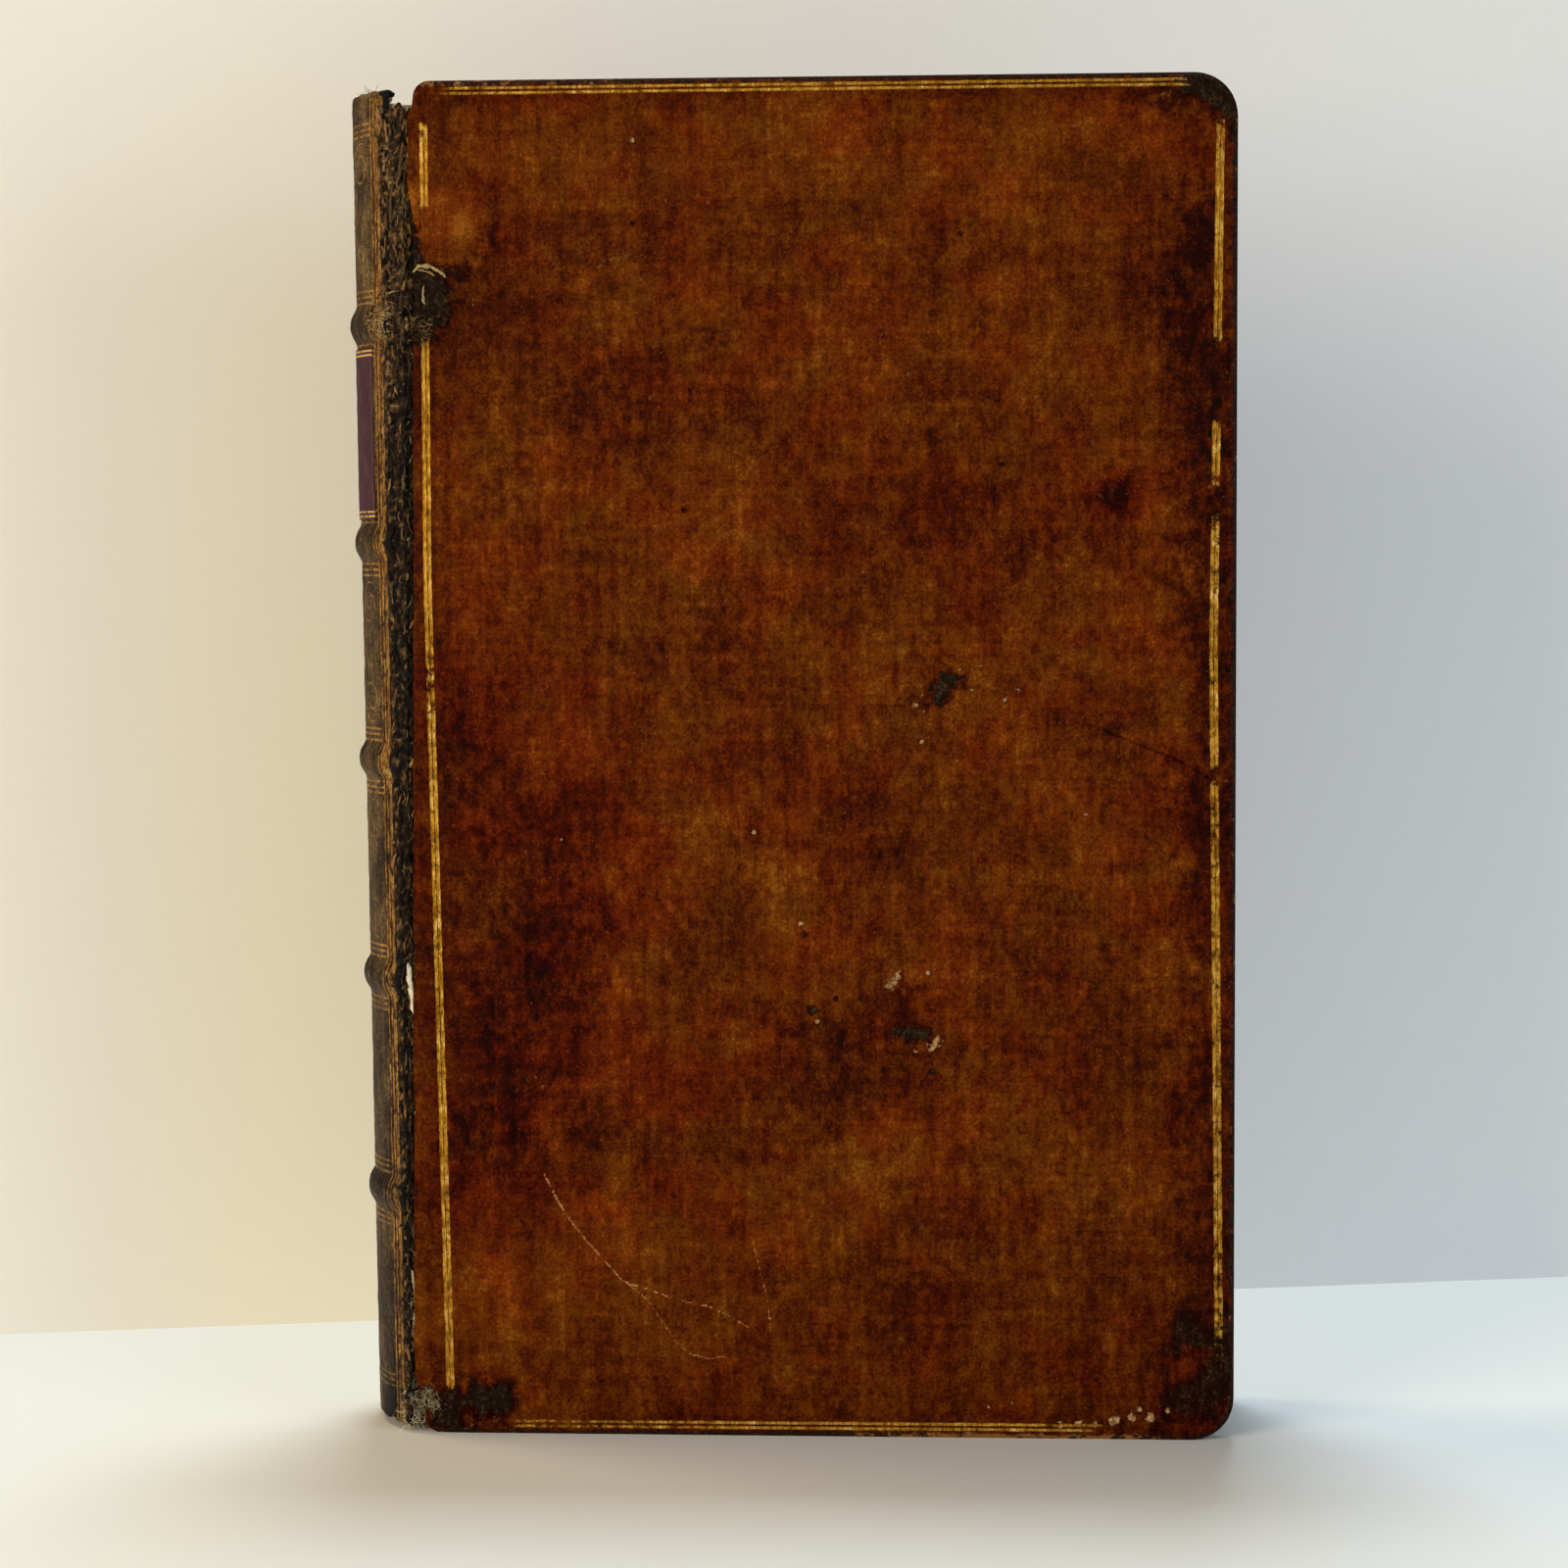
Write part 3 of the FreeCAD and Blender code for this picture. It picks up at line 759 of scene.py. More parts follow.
    def gold(self, graph: FinishGraph, u: Socket, z: Socket) -> tuple[Socket, Socket]:
        """The gilt lines, with the gold that is left and the groove that held it.

        Args:
            graph: The material under construction.
            u: The place across.
            z: The place up.

        Returns:
            The gold's mask and the groove's mask.
        """
        frame = self.gilding
        top = self.plan.height
        climb = graph.math("DIVIDE", z, top)
        across = graph.math("DIVIDE", u, self.plan.width)
        slant = graph.math("MAXIMUM", graph.math("SUBTRACT", 1.0, graph.math("DIVIDE", z, frame.slant_top)), 0.0)
        joint = graph.math("MULTIPLY_ADD", slant, frame.joint_slant, frame.joint_middle)
        bow = graph.math("ABSOLUTE", graph.math("SUBTRACT", z, frame.fore_waist))
        bow = graph.math("DIVIDE", bow, top - frame.fore_waist)
        fore = graph.math("MULTIPLY_ADD", bow, frame.fore_bow, frame.fore_middle)
        tail = graph.math("MULTIPLY_ADD", across, frame.end_slant, frame.end_middle)
        head = graph.math("MULTIPLY_ADD", across, frame.end_slant, top - frame.end_middle)
        stripe, thin = (frame.half_gap, frame.line), (frame.end_gap, frame.end_line)
        sides = [
            (u, joint, climb, JOINT_GOLD, stripe),
            (u, fore, climb, FORE_GOLD, stripe),
            (z, tail, across, TAIL_GOLD, thin),
            (z, head, across, HEAD_GOLD, thin),
        ]
        wobble = graph.math("MULTIPLY_ADD", graph.grainy(1.6, 5, 0.75), 0.36, -0.18)
        wear = graph.grainy(1.3, 6, 0.75, shift=71)
        gold: Input = 0.0
        groove: Input = 0.0
        for place, middle, along, left, (gap, width) in sides:
            away = graph.math("ABSOLUTE", graph.math("SUBTRACT", place, middle))
            away = graph.math("ABSOLUTE", graph.math("SUBTRACT", away, gap))
            rough = graph.math("ADD", away, wobble)
            line = graph.rise(rough, width / 2 - 0.05, width / 2 + 0.1, 1, 0)
            groove = graph.math("MAXIMUM", groove, line)
            kept = graph.math("ADD", graph.profile(along, left), wear)
            kept = graph.rise(kept, 0.94, 1.12)
            gold = graph.math("MAXIMUM", gold, graph.math("MULTIPLY", line, kept))
        return gold, groove


JOINT_GOLD = (
    (0.0, 0.0), (0.02, 0.1), (0.04, 0.66), (0.3, 0.62), (0.5, 0.64), (0.57, 0.5), (0.6, 0.72), (0.8, 0.72),
    (0.83, 0.3), (0.9, 0.2), (0.915, 0.8), (0.94, 0.8), (0.95, 0.62), (0.968, 0.55), (0.975, 0.1), (1.0, 0.0),
)
FORE_GOLD = (
    (0.0, 0.0), (0.04, 0.2), (0.08, 0.56), (0.3, 0.6), (0.48, 0.58), (0.49, 0.35), (0.5, 0.6), (0.67, 0.6),
    (0.69, 0.25), (0.72, 0.7), (0.74, 0.68), (0.76, 0.28), (0.8, 0.36), (0.815, 0.66), (0.93, 0.66), (0.965, 0.5),
    (0.972, 0.0),
)
TAIL_GOLD = ((0.0, 0.0), (0.1, 0.0), (0.105, 0.5), (0.3, 0.56), (0.4, 0.68), (0.75, 0.66), (0.84, 0.5), (0.88, 0.2))
HEAD_GOLD = ((0.0, 0.0), (0.02, 0.3), (0.05, 0.56), (0.3, 0.66), (0.85, 0.7), (0.94, 0.56), (0.95, 0.1))


@dataclass(frozen=True)
class SpineCalfFinish:
    """The spine's calf, faded to grey-brown, with gilt lines, rules and small tools in each panel."""

    name: str
    plan: BookPlan
    upright_lines: tuple[tuple[float, float], ...] = ((13.2, 0.26), (13.95, 0.24), (14.6, 0.3), (15.25, 0.66))
    rules: tuple[float, ...] = (3.15, 4.05, 4.9)
    rubbed_from: float = 12.6

    def along(self, graph: FinishGraph) -> Socket:
        """The place round the back, from its middle.

        Args:
            graph: The material under construction.

        Returns:
            The way along the leather.
        """
        plan = self.plan
        x, y, z = graph.axes()
        leaning = graph.math("MULTIPLY_ADD", z, (plan.lean_head - plan.lean_tail) / plan.height, plan.lean_tail)
        inward = graph.math("SUBTRACT", graph.math("ADD", leaning, plan.spine_axis_x), x)
        return graph.math("MULTIPLY", graph.math("ARCTAN2", y, inward), plan.spine_radius)

    def make(self) -> bpy.types.Material:
        """Builds the material.

        Returns:
            The calf.
        """
        graph = FinishGraph(self.name)
        dark, pale, ridge, _ = graph.painted("marks")
        cloud = graph.grainy(9, 5, 0.65)
        patch = graph.grainy(2.2, 6, 0.72, stretch=(1, 1, 1.8))
        fleck = graph.grainy(0.5, 5, 0.75)
        streak = graph.grainy(0.6, 4, 0.7, stretch=(1, 1, 18))
        waves = ((cloud, 0.9), (patch, 1.1), (fleck, 0.8), (streak, 0.9))
        tone = graph.total(*waves, (ridge, -0.12), (dark, -0.5))
        tone = graph.math("ADD", tone, 0.5 - sum(weight for _, weight in waves) / 2)
        calf = graph.ramp(
            tone,
            [
                (0.0, tint(24, 16, 8)),
                (0.3, tint(60, 43, 25)),
                (0.5, tint(93, 71, 43)),
                (0.7, tint(126, 99, 61)),
                (1.0, tint(176, 142, 90)),
            ],
        )
        rubbed = graph.ramp(
            tone,
            [
                (0.0, tint(20, 9, 4)),
                (0.35, tint(58, 29, 11)),
                (0.6, tint(104, 60, 24)),
                (1.0, tint(168, 108, 48)),
            ],
        )
        side = graph.math("ABSOLUTE", self.along(graph))
        near_joint = graph.math("MULTIPLY_ADD", graph.grainy(3.0, 4, 0.7, shift=12), 2.4, side)
        calf = graph.mix(graph.rise(near_joint, self.rubbed_from + 1.2, self.rubbed_from + 2.0), calf, rubbed)
        split = graph.rise(graph.grainy(0.34, 3, 0.6, stretch=(1, 1, 26), shift=6), 0.54, 0.62)
        split = graph.math("MULTIPLY", split, graph.rise(side, self.rubbed_from - 0.6, self.rubbed_from + 0.4))
        calf = graph.mix(graph.math("MULTIPLY", split, 0.8), calf, tint(18, 9, 5))
        black = graph.rise(graph.total((dark, 1.0), (patch, 0.8)), 0.85, 1.3)
        calf = graph.mix(black, calf, tint(20, 15, 11))
        crackle = graph.rise(graph.cells(1.1, 0.8), 0.0, 0.08, 1.0, 0.0)
        calf = graph.mix(graph.math("MULTIPLY", crackle, 0.5), calf, tint(26, 15, 9))
        bare = graph.mix(fleck, tint(120, 86, 50), tint(200, 168, 120))
        calf = graph.mix(graph.rise(pale, 0.3, 0.8), calf, bare)
        gold = self.gold(graph)
        leaf = graph.mix(fleck, tint(140, 92, 34), tint(222, 172, 92))
        colour = graph.mix(gold, calf, leaf)
        height = graph.total(
            (graph.cells(0.4, 0.4, "F1"), 0.3), (patch, 0.6), (fleck, 0.6), (streak, 1.0), (crackle, -0.6)
        )
        roughness = graph.math("MULTIPLY_ADD", patch, 0.25, 0.45)
        metal = graph.math("MULTIPLY", gold, 0.4)
        return graph.done(colour, roughness, height, 0.25, metal, 0.12)

    def gold(self, graph: FinishGraph) -> Socket:
        """What is left of the tooling: lines by the joints, rules by the bands, a flower and four scrolls.

        Args:
            graph: The material under construction.

        Returns:
            The gold's mask.
        """
        plan = self.plan
        _, _, z = graph.axes()
        along = self.along(graph)
        side = graph.math("ABSOLUTE", along)
        wobble = graph.math("MULTIPLY_ADD", graph.grainy(2.2, 5, 0.7), 0.5, -0.25)
        strokes: Input = 0.0
        for place, width in self.upright_lines:
            away = graph.math("ABSOLUTE", graph.math("SUBTRACT", graph.math("ADD", side, wobble), place))
            strokes = graph.math("MAXIMUM", strokes, graph.rise(away, width / 2, width / 2 + 0.12, 1, 0))
        pitch = plan.bands[1] - plan.bands[0]
        turns = graph.math("DIVIDE", graph.math("SUBTRACT", z, plan.bands[0]), pitch)
        part = graph.math("SUBTRACT", turns, graph.math("FLOOR", turns))
        up = graph.math("MULTIPLY", graph.math("SUBTRACT", part, 0.5), pitch)
        from_band = graph.math("SUBTRACT", pitch / 2, graph.math("ABSOLUTE", up))
        inside = graph.rise(side, 13.0, 13.4, 1, 0)
        for place in self.rules:
            away = graph.math("ABSOLUTE", graph.math("SUBTRACT", from_band, place))
            rule = graph.math("MULTIPLY", graph.rise(away, 0.1, 0.22, 1, 0), inside)
            strokes = graph.math("MAXIMUM", strokes, rule)
        tools = graph.math("MAXIMUM", self.flower(graph, along, up), self.scroll(graph, side, up))
        low_down = graph.rise(z, 60.0, 110.0, 0.25, 0.8)
        strokes = graph.math("MAXIMUM", strokes, graph.math("MULTIPLY", tools, low_down))
        kept = graph.rise(graph.grainy(0.9, 6, 0.75, stretch=(1, 1, 2), shift=33), 0.4, 0.56, 0.0, 1.0)
        rubbed = graph.rise(graph.grainy(8, 3, 0.6, shift=44), 0.4, 0.56, 0.5, 1.0)
        return graph.math("MULTIPLY", graph.math("MULTIPLY", strokes, kept), rubbed)

    def flower(self, graph: FinishGraph, along: Socket, up: Socket) -> Socket:
        """A six-petalled flower in a ring, in the middle of each panel.

        Args:
            graph: The material under construction.
            along: The place round the back.
            up: The place up the panel.

        Returns:
            The flower's lines.
        """
        far = graph.math("SQRT", graph.total((graph.math("MULTIPLY", along, along), 1.0), (graph.math("MULTIPLY", up, up), 1.0)))
        petal = graph.math("COSINE", graph.math("MULTIPLY", graph.math("ARCTAN2", up, along), 6))
        outline = graph.math("MULTIPLY_ADD", petal, 0.9, 2.3)
        lines = graph.rise(graph.math("ABSOLUTE", graph.math("SUBTRACT", far, outline)), 0.12, 0.28, 1, 0)
        ring = graph.rise(graph.math("ABSOLUTE", graph.math("SUBTRACT", far, 4.4)), 0.1, 0.24, 1, 0)
        heart = graph.rise(far, 0.6, 0.8, 1, 0)
        return graph.math("MAXIMUM", graph.math("MAXIMUM", lines, ring), heart)

    def scroll(self, graph: FinishGraph, side: Socket, up: Socket) -> Socket:
        """A spiral in each corner of a panel.

        Args:
            graph: The material under construction.
            side: The place round the back, on either side of the middle.
            up: The place up the panel.

        Returns:
            The spirals' lines.
        """
        across = graph.math("SUBTRACT", side, 9.4)
        high = graph.math("SUBTRACT", graph.math("ABSOLUTE", up), 7.2)
        far = graph.math("SQRT", graph.total((graph.math("MULTIPLY", across, across), 1.0), (graph.math("MULTIPLY", high, high), 1.0)))
        swing = graph.math("MULTIPLY_ADD", far, 3.2, graph.math("ARCTAN2", high, across))
        arm = graph.rise(graph.math("ABSOLUTE", graph.math("SINE", graph.math("MULTIPLY", swing, 0.5))), 0.12, 0.3, 1, 0)
        return graph.math("MULTIPLY", arm, graph.rise(far, 3.4, 3.7, 1, 0))


@dataclass(frozen=True)
class LabelFinish:
    """Thin dark red skin with gilt rules at both ends."""

    name: str
    low: float
    high: float
    rules: tuple[float, ...] = (0.7, 1.35)

    def make(self) -> bpy.types.Material:
        """Builds the material.

        Returns:
            The skin.
        """
        graph = FinishGraph(self.name)
        _, _, z = graph.axes()
        patch = graph.grainy(3.0, 5, 0.7)
        streak = graph.grainy(0.5, 4, 0.7, stretch=(1, 1, 10))
        tone = graph.total((patch, 0.8), (streak, 0.6))
        colour = graph.ramp(
            graph.math("SUBTRACT", tone, 0.2), [(0.0, tint(34, 14, 18)), (0.5, tint(70, 38, 44)), (1.0, tint(112, 84, 82))]
        )
        middle, half = (self.low + self.high) / 2, (self.high - self.low) / 2
        from_end = graph.math("SUBTRACT", half, graph.math("ABSOLUTE", graph.math("SUBTRACT", z, middle)))
        gold: Input = 0.0
        for place in self.rules:
            away = graph.math("ABSOLUTE", graph.math("SUBTRACT", from_end, place))
            gold = graph.math("MAXIMUM", gold, graph.rise(away, 0.09, 0.2, 1, 0))
        kept = graph.rise(graph.grainy(1.3, 5, 0.75, shift=3), 0.36, 0.52, 0.1, 1.0)
        gold = graph.math("MULTIPLY", gold, kept)
        colour = graph.mix(gold, colour, tint(206, 164, 84))
        height = graph.total((patch, 0.5), (streak, 0.6))
        return graph.done(colour, graph.math("MULTIPLY_ADD", patch, 0.2, 0.4), height, 0.1, specular=0.25)


@dataclass(frozen=True)
class PaintedFinish:
    """A dry rough stuff whose colour its vertices carry."""

    name: str
    size: float = 0.25
    relief: float = 0.15

    def make(self) -> bpy.types.Material:
        """Builds the material.

        Returns:
            The stuff.
        """
        graph = FinishGraph(self.name)
        paint = graph.node("ShaderNodeAttribute", attribute_name="paint").outputs["Color"]
        grit = graph.grainy(self.size, 4, 0.7)
        shade = graph.rise(grit, 0.3, 0.7, 0.45, 1.35)
        cast = graph.node("ShaderNodeCombineColor")
        for socket in cast.inputs[:3]:
            graph.plug(socket, shade)
        colour = graph.mix(1.0, paint, cast.outputs[0], "MULTIPLY")
        return graph.done(colour, 0.85, grit, self.relief, specular=0.15)


@dataclass(frozen=True)
class PaperFinish:
    """Handmade laid paper, browned and spotted with age."""

    name: str
    light: Colour = tint(214, 196, 158)
    aged: Colour = tint(168, 132, 86)
    ribbed: bool = True

    def make(self) -> bpy.types.Material:
        """Builds the material.

        Returns:
            The paper.
        """
        graph = FinishGraph(self.name)
        x, _, z = graph.axes()
        cloud = graph.grainy(34, 5, 0.6)
        fibre = graph.grainy(0.5, 4, 0.6, stretch=(1, 1, 3))
        colour = graph.mix(graph.rise(cloud, 0.35, 0.75, 0.1, 0.6), self.light, self.aged)
        spots = graph.rise(graph.grainy(2.2, 4, 0.7, shift=8), 0.66, 0.76)
        sparse = graph.rise(graph.grainy(20, 2, 0.5, shift=4), 0.48, 0.7)
        colour = graph.mix(
            graph.math("MULTIPLY", graph.math("MULTIPLY", spots, sparse), 0.6), colour, tint(142, 92, 44)
        )
        laid = graph.math("SINE", graph.math("MULTIPLY", z, 2 * math.pi / 1.0))
        chain = graph.math("ABSOLUTE", graph.math("SINE", graph.math("MULTIPLY", x, math.pi / 25)))
        chain = graph.rise(chain, 0.0, 0.05, 1.0, 0.0)
        if self.ribbed:
            colour = graph.mix(graph.math("MULTIPLY", chain, 0.12), colour, self.aged)
        height = graph.total((laid, 0.12), (chain, 0.2), (fibre, 0.6))
        return graph.done(colour, 0.85, height, 0.05, specular=0.15)


@dataclass(frozen=True)
class LeafEdgeFinish:
    """The cut edges of the leaves: fine lines from cover to cover, browned and sprinkled."""

    name: str

    def make(self) -> bpy.types.Material:
        """Builds the material.

        Returns:
            The page edges.
        """
        graph = FinishGraph(self.name)
        leaf = graph.grainy(0.16, 2, 0.6, stretch=(120, 1, 120))
        section = graph.grainy(1.1, 2, 0.5, stretch=(60, 1, 60), shift=5)
        cloud = graph.grainy(24, 5, 0.6)
        colour = graph.mix(graph.rise(leaf, 0.3, 0.75), tint(112, 84, 50), tint(206, 182, 138))
        colour = graph.mix(graph.rise(section, 0.35, 0.6, 0.35, 0.0), colour, tint(96, 66, 38))
        colour = graph.mix(graph.rise(cloud, 0.45, 0.8, 0.0, 0.45), colour, tint(120, 82, 44))
        sprinkle = graph.rise(graph.grainy(0.5, 1, 0.4, shift=9), 0.72, 0.76)
        colour = graph.mix(graph.math("MULTIPLY", sprinkle, 0.6), colour, tint(110, 38, 20))
        return graph.done(colour, 0.8, leaf, 0.12, specular=0.15)


@dataclass(frozen=True)
class FibreFinish:
    """Flax, board or thread: a dry fibrous stuff in two shades."""

    name: str
    light: Colour
    deep: Colour
    size: float = 0.3
    stretch: tuple[float, float, float] = (4, 1, 1)

    def make(self) -> bpy.types.Material:
        """Builds the material.

        Returns:
            The fibrous stuff.
        """
        graph = FinishGraph(self.name)
        strand = graph.grainy(self.size, 4, 0.7, stretch=self.stretch)
        cloud = graph.grainy(self.size * 9, 4, 0.65)
        tone = graph.total((strand, 0.7), (cloud, 0.5))
        colour = graph.mix(graph.rise(tone, 0.4, 0.8), self.deep, self.light)
        return graph.done(colour, 0.9, strand, 0.15, specular=0.12)


@dataclass(frozen=True)
class WallFinish:
    """Pale matt paint with painted light in it: a blend from a warm colour on the left to a cooler one on the right
    stands in for a warm lamp on the left and a cool one on the right, and a painted warm glow of bounce light lies low
    beside the book's left side; seen from its painted side alone.
    """

    name: str
    left: Colour
    right: Colour
    painted_bounce_light: Colour
    one_sided: bool = False
    turn_from: float = -110.0
    turn_to: float = 110.0
    painted_bounce_light_middle: float = -86.0
    painted_bounce_light_reach: float = 50.0

    def make(self) -> bpy.types.Material:
        """Builds the material.

        Returns:
            The paint.
        """
        graph = FinishGraph(self.name)
        x, _, z = graph.axes()
        # Painted light: the warm left and cool right colours stand in for the colour of the lamps on either side.
        shade = graph.mix(graph.rise(x, self.turn_from, self.turn_to), self.left, self.right)
        # Painted light: a warm glow of bounce light, strongest beside the book's left side and low down, fading upward
        # and sideways.
        away = graph.math("ABSOLUTE", graph.math("SUBTRACT", x, self.painted_bounce_light_middle))
        near = graph.rise(away, 0.0, self.painted_bounce_light_reach, 0.75, 0.0)
        near = graph.math("MULTIPLY", near, graph.rise(z, 60.0, 260.0, 1.0, 0.2))
        shade = graph.mix(near, shade, self.painted_bounce_light)
        made = graph.done(shade, 0.9, graph.grainy(1.2, 3, 0.6), 0.03, specular=0.1)
        if self.one_sided:
            back = graph.node("ShaderNodeNewGeometry").outputs["Backfacing"]
            clear = graph.node("ShaderNodeBsdfTransparent")
            blend = graph.node("ShaderNodeMixShader")
            graph.plug(blend.inputs[0], back)
            graph.plug(blend.inputs[1], graph.shader.outputs[0])
            graph.plug(blend.inputs[2], clear.outputs[0])
            graph.plug(graph.output.inputs["Surface"], blend.outputs[0])
        return made


@dataclass(frozen=True)
class Mark:
    """One place where the leather has changed."""

    kind: MarkKind
    path: Path
    reach: float
    strength: float = 1.0
    depth: float = 0.0
    ragged: float = 0.35
    fine: bool = False

    @cached_property
    def span(self) -> tuple[float, float, float, float]:
        """Lowest and highest place that the mark can reach, across and up."""
        pad = self.reach * (1 + self.ragged)
        across = [spot[0] for spot in self.path]
        up = [spot[1] for spot in self.path]
        return min(across) - pad, max(across) + pad, min(up) - pad, max(up) + pad

    def near(self, u: float, z: float, margin: float) -> bool:
        """Tells whether a place lies within a margin of the mark.

        Args:
            u: The place across.
            z: The place up.
            margin: How far off it may be.

        Returns:
            True near the mark.
        """
        low_u, high_u, low_z, high_z = self.span
        if not (low_u - margin < u < high_u + margin and low_z - margin < z < high_z + margin):
            return False
        return to_path(u, z, self.path) < self.reach * (1 + self.ragged) + margin

    def weight(self, u: float, z: float) -> float:
        """How strongly the mark is felt at a place.

        Args:
            u: The place across.
            z: The place up.

        Returns:
            From 0 to the mark's strength.
        """
        if not self.near(u, z, 0.0):
            return 0.0
        away = to_path(u, z, self.path)
        rough = ripple(Vector((u, 0, z)), max(0.35, self.reach * 0.6), self.reach) * self.ragged
        return self.strength * smooth(1 - away / self.reach + rough, 0.0, 0.75)


def new_piece(
    name: str,
    bm: bmesh.types.BMesh,
    finish: bpy.types.Material,
    wall: float = 0.0,
    flip: bool = False,
) -> bpy.types.Object:
    """Turns a mesh in millimetres into a piece at the origin.

    Args:
        name: The piece's name.
        bm: The mesh, which is freed.
        finish: Its material.
        wall: Thickness that the surface gets on its inner side, or nothing.
        flip: Turns the faces round first.

    Returns:
        The piece.
    """
    if flip:
        bmesh.ops.reverse_faces(bm, faces=bm.faces)
    bmesh.ops.scale(bm, vec=(MM, MM, MM), verts=bm.verts)
    mesh = bpy.data.meshes.new(name)
    bm.to_mesh(mesh)
    bm.free()
    mesh.shade_smooth()
    mesh.materials.append(finish)
    piece = bpy.data.objects.new(name, mesh)
    bpy.context.scene.collection.objects.link(piece)
    if wall:
        shell = piece.modifiers.new("wall", "SOLIDIFY")
        shell.thickness = wall * MM
        shell.offset = -1
    LOG.info("%s: %d faces", name, len(mesh.polygons))
    return piece


def lattice(
    columns: Sequence[float], rows: Sequence[float], place: Callable[[float, float], Vector]
) -> bmesh.types.BMesh:
    """A grid of quads laid over a surface.

    Args:
        columns: Places along the first way.
        rows: Places along the second way.
        place: Where a pair of them lies.

    Returns:
        The mesh in millimetres.
    """
    bm = bmesh.new()
    bmesh.ops.create_grid(bm, x_segments=len(columns) - 1, y_segments=len(rows) - 1, size=0.5)
    for vert in bm.verts:
        i = round((vert.co.x + 0.5) * (len(columns) - 1))
        j = round((vert.co.y + 0.5) * (len(rows) - 1))
        vert.co = place(columns[i], rows[j])
    return bm


